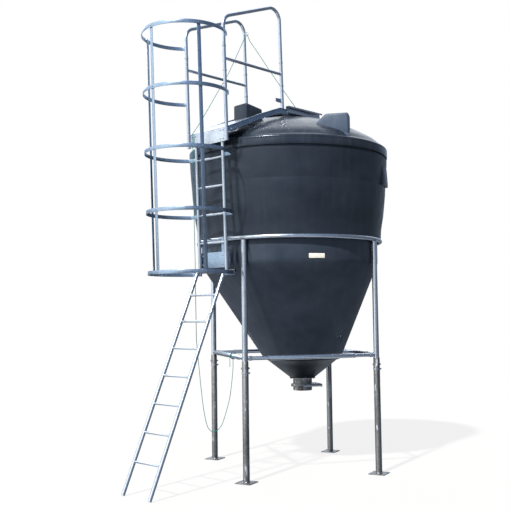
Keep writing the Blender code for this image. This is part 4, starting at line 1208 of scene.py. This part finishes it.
def fold_step_plate():
    """The folded sheet at the ladder's top: an upright riser, then a slope up between the beams."""
    sheet, slope_end = 0.005, 0.850
    face = step_face()
    outer = face + sheet
    high = STEP_TOP + (outer - slope_end) * 0.4165
    half = RAIL_HALF_SPACING - 0.020 - GAP
    outline = [(face, RAIL_FOOT), (outer, RAIL_FOOT), (outer, STEP_TOP), (slope_end, high),
               (slope_end, high - sheet), (face, STEP_TOP - sheet)]
    dress(side_plate("step_plate_folded", outline, -half, 2 * half, edge=0.0014), "galvanised_steel",
          ["step_plate"])


def fit_rope_eye():
    """The welded ring on the left rail's inner post that the rope runs through."""
    facing = (Matrix.Rotation(LADDER_AZIMUTH, 3, "Z") @ Matrix.Rotation(math.radians(90), 3, "Y")).to_euler()
    eye = begin("rope_eye_ring", bpy.ops.mesh.primitive_torus_add, major_radius=EYE_RADIUS,
                minor_radius=EYE_WIRE, major_segments=48, minor_segments=16, location=at_roof(EYE_CENTRE),
                rotation=facing)
    bpy.ops.transform.vertex_random(offset=0.0001, seed=2)
    dress(close_piece(eye), "galvanised_steel", ["rope_eye"])


def build_roof_steelwork():
    for name, side in SIDES.items():
        build_handrail(name, side)
        build_roof_beam(name, side)
        build_roof_channel(name, side)
    fold_step_plate()
    fit_rope_eye()


# Fasteners and small brackets

def fix_handrails():
    """Collars where the rails' bent tubes are joined, and a lug low on the right rail's inner post."""
    upright = at_ladder((0, 0, 1)) - at_ladder((0, 0, 0))
    places = []
    for name, side in SIDES.items():
        for out in (RAIL_OUT, RAIL_IN[name]):
            places += [aimed(at_ladder((out, side, height)), upright) for height in (4.560, 4.300)]
    outer = RAIL_RADIUS + 0.0026
    fasten("rail_collars", collar("tube_collar", outer, outer - 0.0030, 0.016, 36), places, smooth=40.0)
    start = RAIL_IN["right"] + RAIL_RADIUS * 0.95
    outline = [(start, 4.100), (start + 0.088, 4.106), (start + 0.088, 4.144), (start, 4.150)]
    lug = side_plate("rail_lug", outline, RAIL_HALF_SPACING - 0.0025, 0.005, place=at_ladder)
    dress(lug, "cage_steel")


def fix_ladder():
    """Eight nuts on the ladder's plate, four beside the stiles and four in line with its two arms."""
    face = LADDER_OUT - STILE_RADIUS - GAP
    out = ladder_way(1, 0, LADDER_LEAN).normalized()
    places = [aimed(at_ladder((face, side, height)), out, 0.9)
              for side in (-0.172, -0.130, 0.130, 0.172) for height in (2.280, 2.375)]
    fasten("ladder_plate_nuts", nut_end(), places)


def fix_cage():
    """A bolt at every crossing of a hoop and a bar."""
    reach = HOOP_RADIUS + BAR_THICKNESS / 2
    heads = []
    for height in map(hoop_height, range(1, 6)):
        middle = HOOP_OUT + LADDER_LEAN * (height - LADDER_FOOT)
        for angle in (-CAGE_BAR_ANGLE, 0.0, CAGE_BAR_ANGLE):
            spot = at_roof((middle + reach * math.cos(angle), reach * math.sin(angle), height))
            heads.append(aimed(spot, ladder_way(math.cos(angle), math.sin(angle), 0.0), 0.72))
    fasten("cage_bolts", hex_bolt(), heads)


def fix_step_plate():
    """The rows of bolts along both sides of the step plate's riser."""
    face = step_face() + 0.005
    places = [aimed(at_roof((face, side, height)), ladder_way(1, 0, 0), 0.85)
              for side in (-0.245, -0.205, 0.205, 0.245) for height in (3.590, 3.680)]
    fasten("step_plate_bolts", hex_bolt(), places)


def fix_roof_beams():
    """A lug with two bolts at each beam's low end."""
    outline = [(BEAM_OUT - 0.110, 3.690), (BEAM_OUT - 0.006, 3.650), (BEAM_OUT - 0.006, 3.700),
               (BEAM_OUT - 0.110, 3.740)]
    lugs, heads = [], []
    for side in SIDES.values():
        facing = 1 if side > 0 else -1
        start = side + facing * 0.0203
        lugs.append(side_plate("beam_lug", outline, start, facing * 0.005))
        for out, height in ((BEAM_OUT - 0.088, 3.708), (BEAM_OUT - 0.030, 3.686)):
            spot = at_roof((out, start + facing * 0.005, height))
            heads.append(aimed(spot, ladder_way(0.0, facing, 0.0), 0.9))
    dress(join("beam_lugs", lugs), "cage_steel")
    fasten("beam_bolts", hex_bolt(), heads)


# Rope

ROPE_RADIUS = 0.004
ROPE_RISE = math.radians(58)
ROPE_FALL = math.radians(61)
ROPE_BEND = 0.019
KNOT_SIZE = 0.014
EYE_HEIGHT = 5.035
EYE_RADIUS = 0.020
EYE_WIRE = 0.005
EYE_CENTRE = (RAIL_IN["left"] + LADDER_LEAN * (EYE_HEIGHT - LADDER_FOOT),
              -RAIL_HALF_SPACING + RAIL_RADIUS + GAP + 0.025, EYE_HEIGHT)
TIE_PLACE = at_tank(-LEG_OFFSET, -0.216, CROSS_TUBE_HEIGHT)
TIE_RADIUS = SLEEVE_RADIUS + GAP + 4 * ROPE_RADIUS
LID_KNOT = at_roof((0.0, 0.15, 4.120 + 2 * GAP + KNOT_SIZE))


def route_to_eye(start):
    """From the knot on the lid up to the eye."""
    out, side, low = start
    ahead, above = math.cos(ROPE_RISE), math.sin(ROPE_RISE)
    climb = ((0.118, 0.028, 4.385), (0.216, -0.073, 4.600), (0.302, -0.165, 4.800))
    points = [at_roof(point) for point in climb]
    lead = [at_roof((out - ahead * run, side, low - above * run)) for run in (0.060, 0.020)]
    return [LID_KNOT + (points[0] - LID_KNOT).normalized() * (KNOT_SIZE + GAP), *points, *lead]


def route_over_eye():
    """Round the lower wire of the eye."""
    out, side, up = EYE_CENTRE
    first, last = math.pi / 2 + ROPE_RISE, math.pi / 2 - ROPE_FALL
    turns = [first + (last - first) * step / 12 for step in range(13)]
    middle = up - EYE_RADIUS + EYE_WIRE + ROPE_RADIUS + 2 * GAP - ROPE_BEND
    return [(out + ROPE_BEND * math.cos(turn), side, middle + ROPE_BEND * math.sin(turn)) for turn in turns]


def route_to_tie(start):
    """From the eye over the step plate, down inside the cage, and up again to the knot on the frame."""
    out, side, low = start
    ahead, below = math.cos(ROPE_FALL), math.sin(ROPE_FALL)
    lead = [(out + ahead * run, side, low - below * run) for run in (0.020, 0.060)]
    hang = [
        (0.715, -0.257, 4.490), (0.866, -0.254, 4.275), (1.135, -0.244, 3.893), (1.245, -0.234, 3.755),
        (1.2805, -0.230, 3.7165), (1.2840, -0.230, 3.700), (1.284, -0.229, 3.640), (1.280, -0.229, 3.420),
        (1.272, -0.233, 3.098), (1.264, -0.237, 2.771), (1.257, -0.239, 2.556), (1.249, -0.241, 2.260),
        (1.247, -0.244, 2.115), (1.243, -0.245, 1.860), (1.236, -0.245, 1.480), (1.222, -0.243, 1.320),
        (1.202, -0.241, 1.139), (1.178, -0.239, 0.934), (1.146, -0.235, 0.709), (1.098, -0.229, 0.536),
        (1.020, -0.220, 0.478), (0.920, -0.209, 0.532), (0.850, -0.201, 0.680), (0.800, -0.194, 0.830),
        (0.768, -0.191, 1.008),
    ]
    ends = [TIE_PLACE - UP * drop for drop in (0.120, TIE_RADIUS + GAP)]
    return [at_roof(point) for point in (*lead, *hang)] + ends


def smooth_path(points, steps):
    """A smooth curve through the route's points."""
    curve = []
    padded = [2 * points[0] - points[1], *points, 2 * points[-1] - points[-2]]
    for before, start, end, after in zip(padded, padded[1:], padded[2:], padded[3:]):
        into = (end - before) / 2 * min(1.0, (end - start).length / (start - before).length)
        away = (after - start) / 2 * min(1.0, (end - start).length / (after - end).length)
        for step in range(steps):
            t = step / steps
            curve.append(start * (2 * t ** 3 - 3 * t ** 2 + 1) + into * (t ** 3 - 2 * t ** 2 + t)
                         + end * (3 * t ** 2 - 2 * t ** 3) + away * (t ** 3 - t ** 2))
    curve.append(points[-1])
    return curve


def evenly(points, spacing):
    """The same line with a point about every so many metres."""
    lengths = [0.0]
    for before, after in zip(points, points[1:]):
        lengths.append(lengths[-1] + (after - before).length)
    count = max(2, round(lengths[-1] / spacing))
    even, place = [], 0
    for step in range(count + 1):
        run = lengths[-1] * step / count
        while place < len(points) - 2 and lengths[place + 1] < run:
            place += 1
        share = (run - lengths[place]) / max(1e-9, lengths[place + 1] - lengths[place])
        even.append(points[place].lerp(points[place + 1], min(1.0, share)))
    return even


def strand_outline(radius):
    """Three strands that touch, as radii round the rope."""
    strand = radius / (1 + 1 / math.sin(math.radians(60)))
    reach = radius - strand
    outline = []
    for step in range(18):
        angle = (math.tau * step / 18 + math.radians(60)) % math.radians(120) - math.radians(60)
        beyond = strand ** 2 - (reach * math.sin(angle)) ** 2
        outline.append(reach * math.cos(angle) + math.sqrt(max(0.0, beyond)))
    return outline


def lay_rope(name, points, radius, taper=False):
    """A laid rope of three strands along a line of points, its end frayed wider where it tapers."""
    lay, frayed = 0.030, 6
    outline = strand_outline(radius)
    mesh = bmesh.new()
    rings = []
    normal = None
    twist = 0.0
    for index, point in enumerate(points):
        ahead = (points[min(index + 1, len(points) - 1)] - points[max(index - 1, 0)]).normalized()
        if normal is None:
            normal = ahead.orthogonal().normalized()
        normal = (normal - ahead * normal.dot(ahead)).normalized()
        across = ahead.cross(normal)
        if index:
            twist += math.tau * (point - points[index - 1]).length / lay
        size = 1.0
        if taper and index > len(points) - frayed:
            size = 1.0 + 0.30 * (index - len(points) + frayed) / (frayed - 1)
        ring = []
        for step, reach in enumerate(outline):
            turn = math.tau * step / len(outline) + twist
            out = normal * math.cos(turn) + across * math.sin(turn)
            ring.append(mesh.verts.new(point + out * reach * size))
        rings.append(ring)
    for low, high in zip(rings, rings[1:]):
        for here in range(len(outline)):
            there = (here + 1) % len(outline)
            mesh.faces.new((low[here], low[there], high[there], high[here]))
    mesh.faces.new(reversed(rings[0]))
    mesh.faces.new(rings[-1])
    bmesh.ops.recalc_face_normals(mesh, faces=mesh.faces)
    data = bpy.data.meshes.new(name)
    mesh.to_mesh(data)
    mesh.free()
    piece = bpy.data.objects.new(name, data)
    bpy.context.collection.objects.link(piece)
    return piece


def tie_frame_knot():
    """Three turns round the left cross tube's sleeve, a crossing turn over them, and a short tail."""
    reach = SLEEVE_RADIUS + GAP + ROPE_RADIUS * 1.02
    turns, over = [], []
    for step in range(109):
        angle = math.radians(-90) + math.tau * 3 * step / 108
        along = 0.0085 * (step / 54 - 1)
        turns.append(TIE_PLACE + Vector((reach * math.cos(angle), along, reach * math.sin(angle))))
    for step in range(49):
        part = step / 48
        angle = math.radians(-115) + math.tau * 0.62 * part
        rise = reach + ROPE_RADIUS * 1.85 * math.sin(math.pi * min(1.0, part * 1.2)) ** 0.5
        along = 0.011 - 0.022 * part
        over.append(TIE_PLACE + Vector((rise * math.cos(angle), along, rise * math.sin(angle))))
    tail = smooth_path([TIE_PLACE + Vector(offset) for offset in (
        (-0.0305, -0.0090, -0.012), (-0.0370, -0.0110, -0.020), (-0.0390, -0.0120, -0.034),
        (-0.0375, -0.0110, -0.062), (-0.0385, -0.0125, -0.092), (-0.0400, -0.0140, -0.118))], 6)
    knot = join("frame_knot", [lay_rope("knot_turns", evenly(turns, 0.003), ROPE_RADIUS * 0.98),
                               lay_rope("knot_cross", evenly(over, 0.003), ROPE_RADIUS * 0.95),
                               lay_rope("knot_tail", evenly(tail, 0.003), ROPE_RADIUS * 0.95, taper=True)])
    dress(knot, "pull_rope", ["rope_knot_frame"], smooth=60.0)
    return knot


def tie_lid_knot():
    """An overhand knot drawn tight on the lid."""
    line = []
    for step in range(97):
        turn = math.tau * step / 96
        x = (math.sin(turn) + 2 * math.sin(2 * turn)) * 0.0031
        y = (math.cos(turn) - 2 * math.cos(2 * turn)) * 0.0031
        line.append(LID_KNOT + Vector((x, y, -math.sin(3 * turn) * 0.0046)))
    knot = lay_rope("lid_knot", evenly(line, 0.0025), ROPE_RADIUS * 0.96)
    dress(knot, "pull_rope", ["rope_knot_lid"], smooth=60.0)
    return knot


def run_rope():
    """The free rope from the lid, through the eye, over the step and down to the tie on the frame."""
    bend = route_over_eye()
    path = smooth_path(route_to_eye(bend[0]), 8)[:-1] + [at_roof(point) for point in bend]
    path += smooth_path(route_to_tie(bend[-1]), 8)[1:]
    points = evenly(path, 0.0035)
    rope = lay_rope("pull_rope", points, ROPE_RADIUS)
    dress(rope, "pull_rope", ["rope"], smooth=60.0)
    knots = [tie_frame_knot(), tie_lid_knot()]


# Making


place_camera()
light_studio()
lay_floor()
make_finishes()
run_rope()
build_tank()
build_frame()
build_outlet()
build_ladders()
build_ladder_bar()
build_ladder_plate()
build_cage()
build_roof_steelwork()
fix_handrails()
fix_ladder()
fix_cage()
fix_step_plate()
fix_roof_beams()
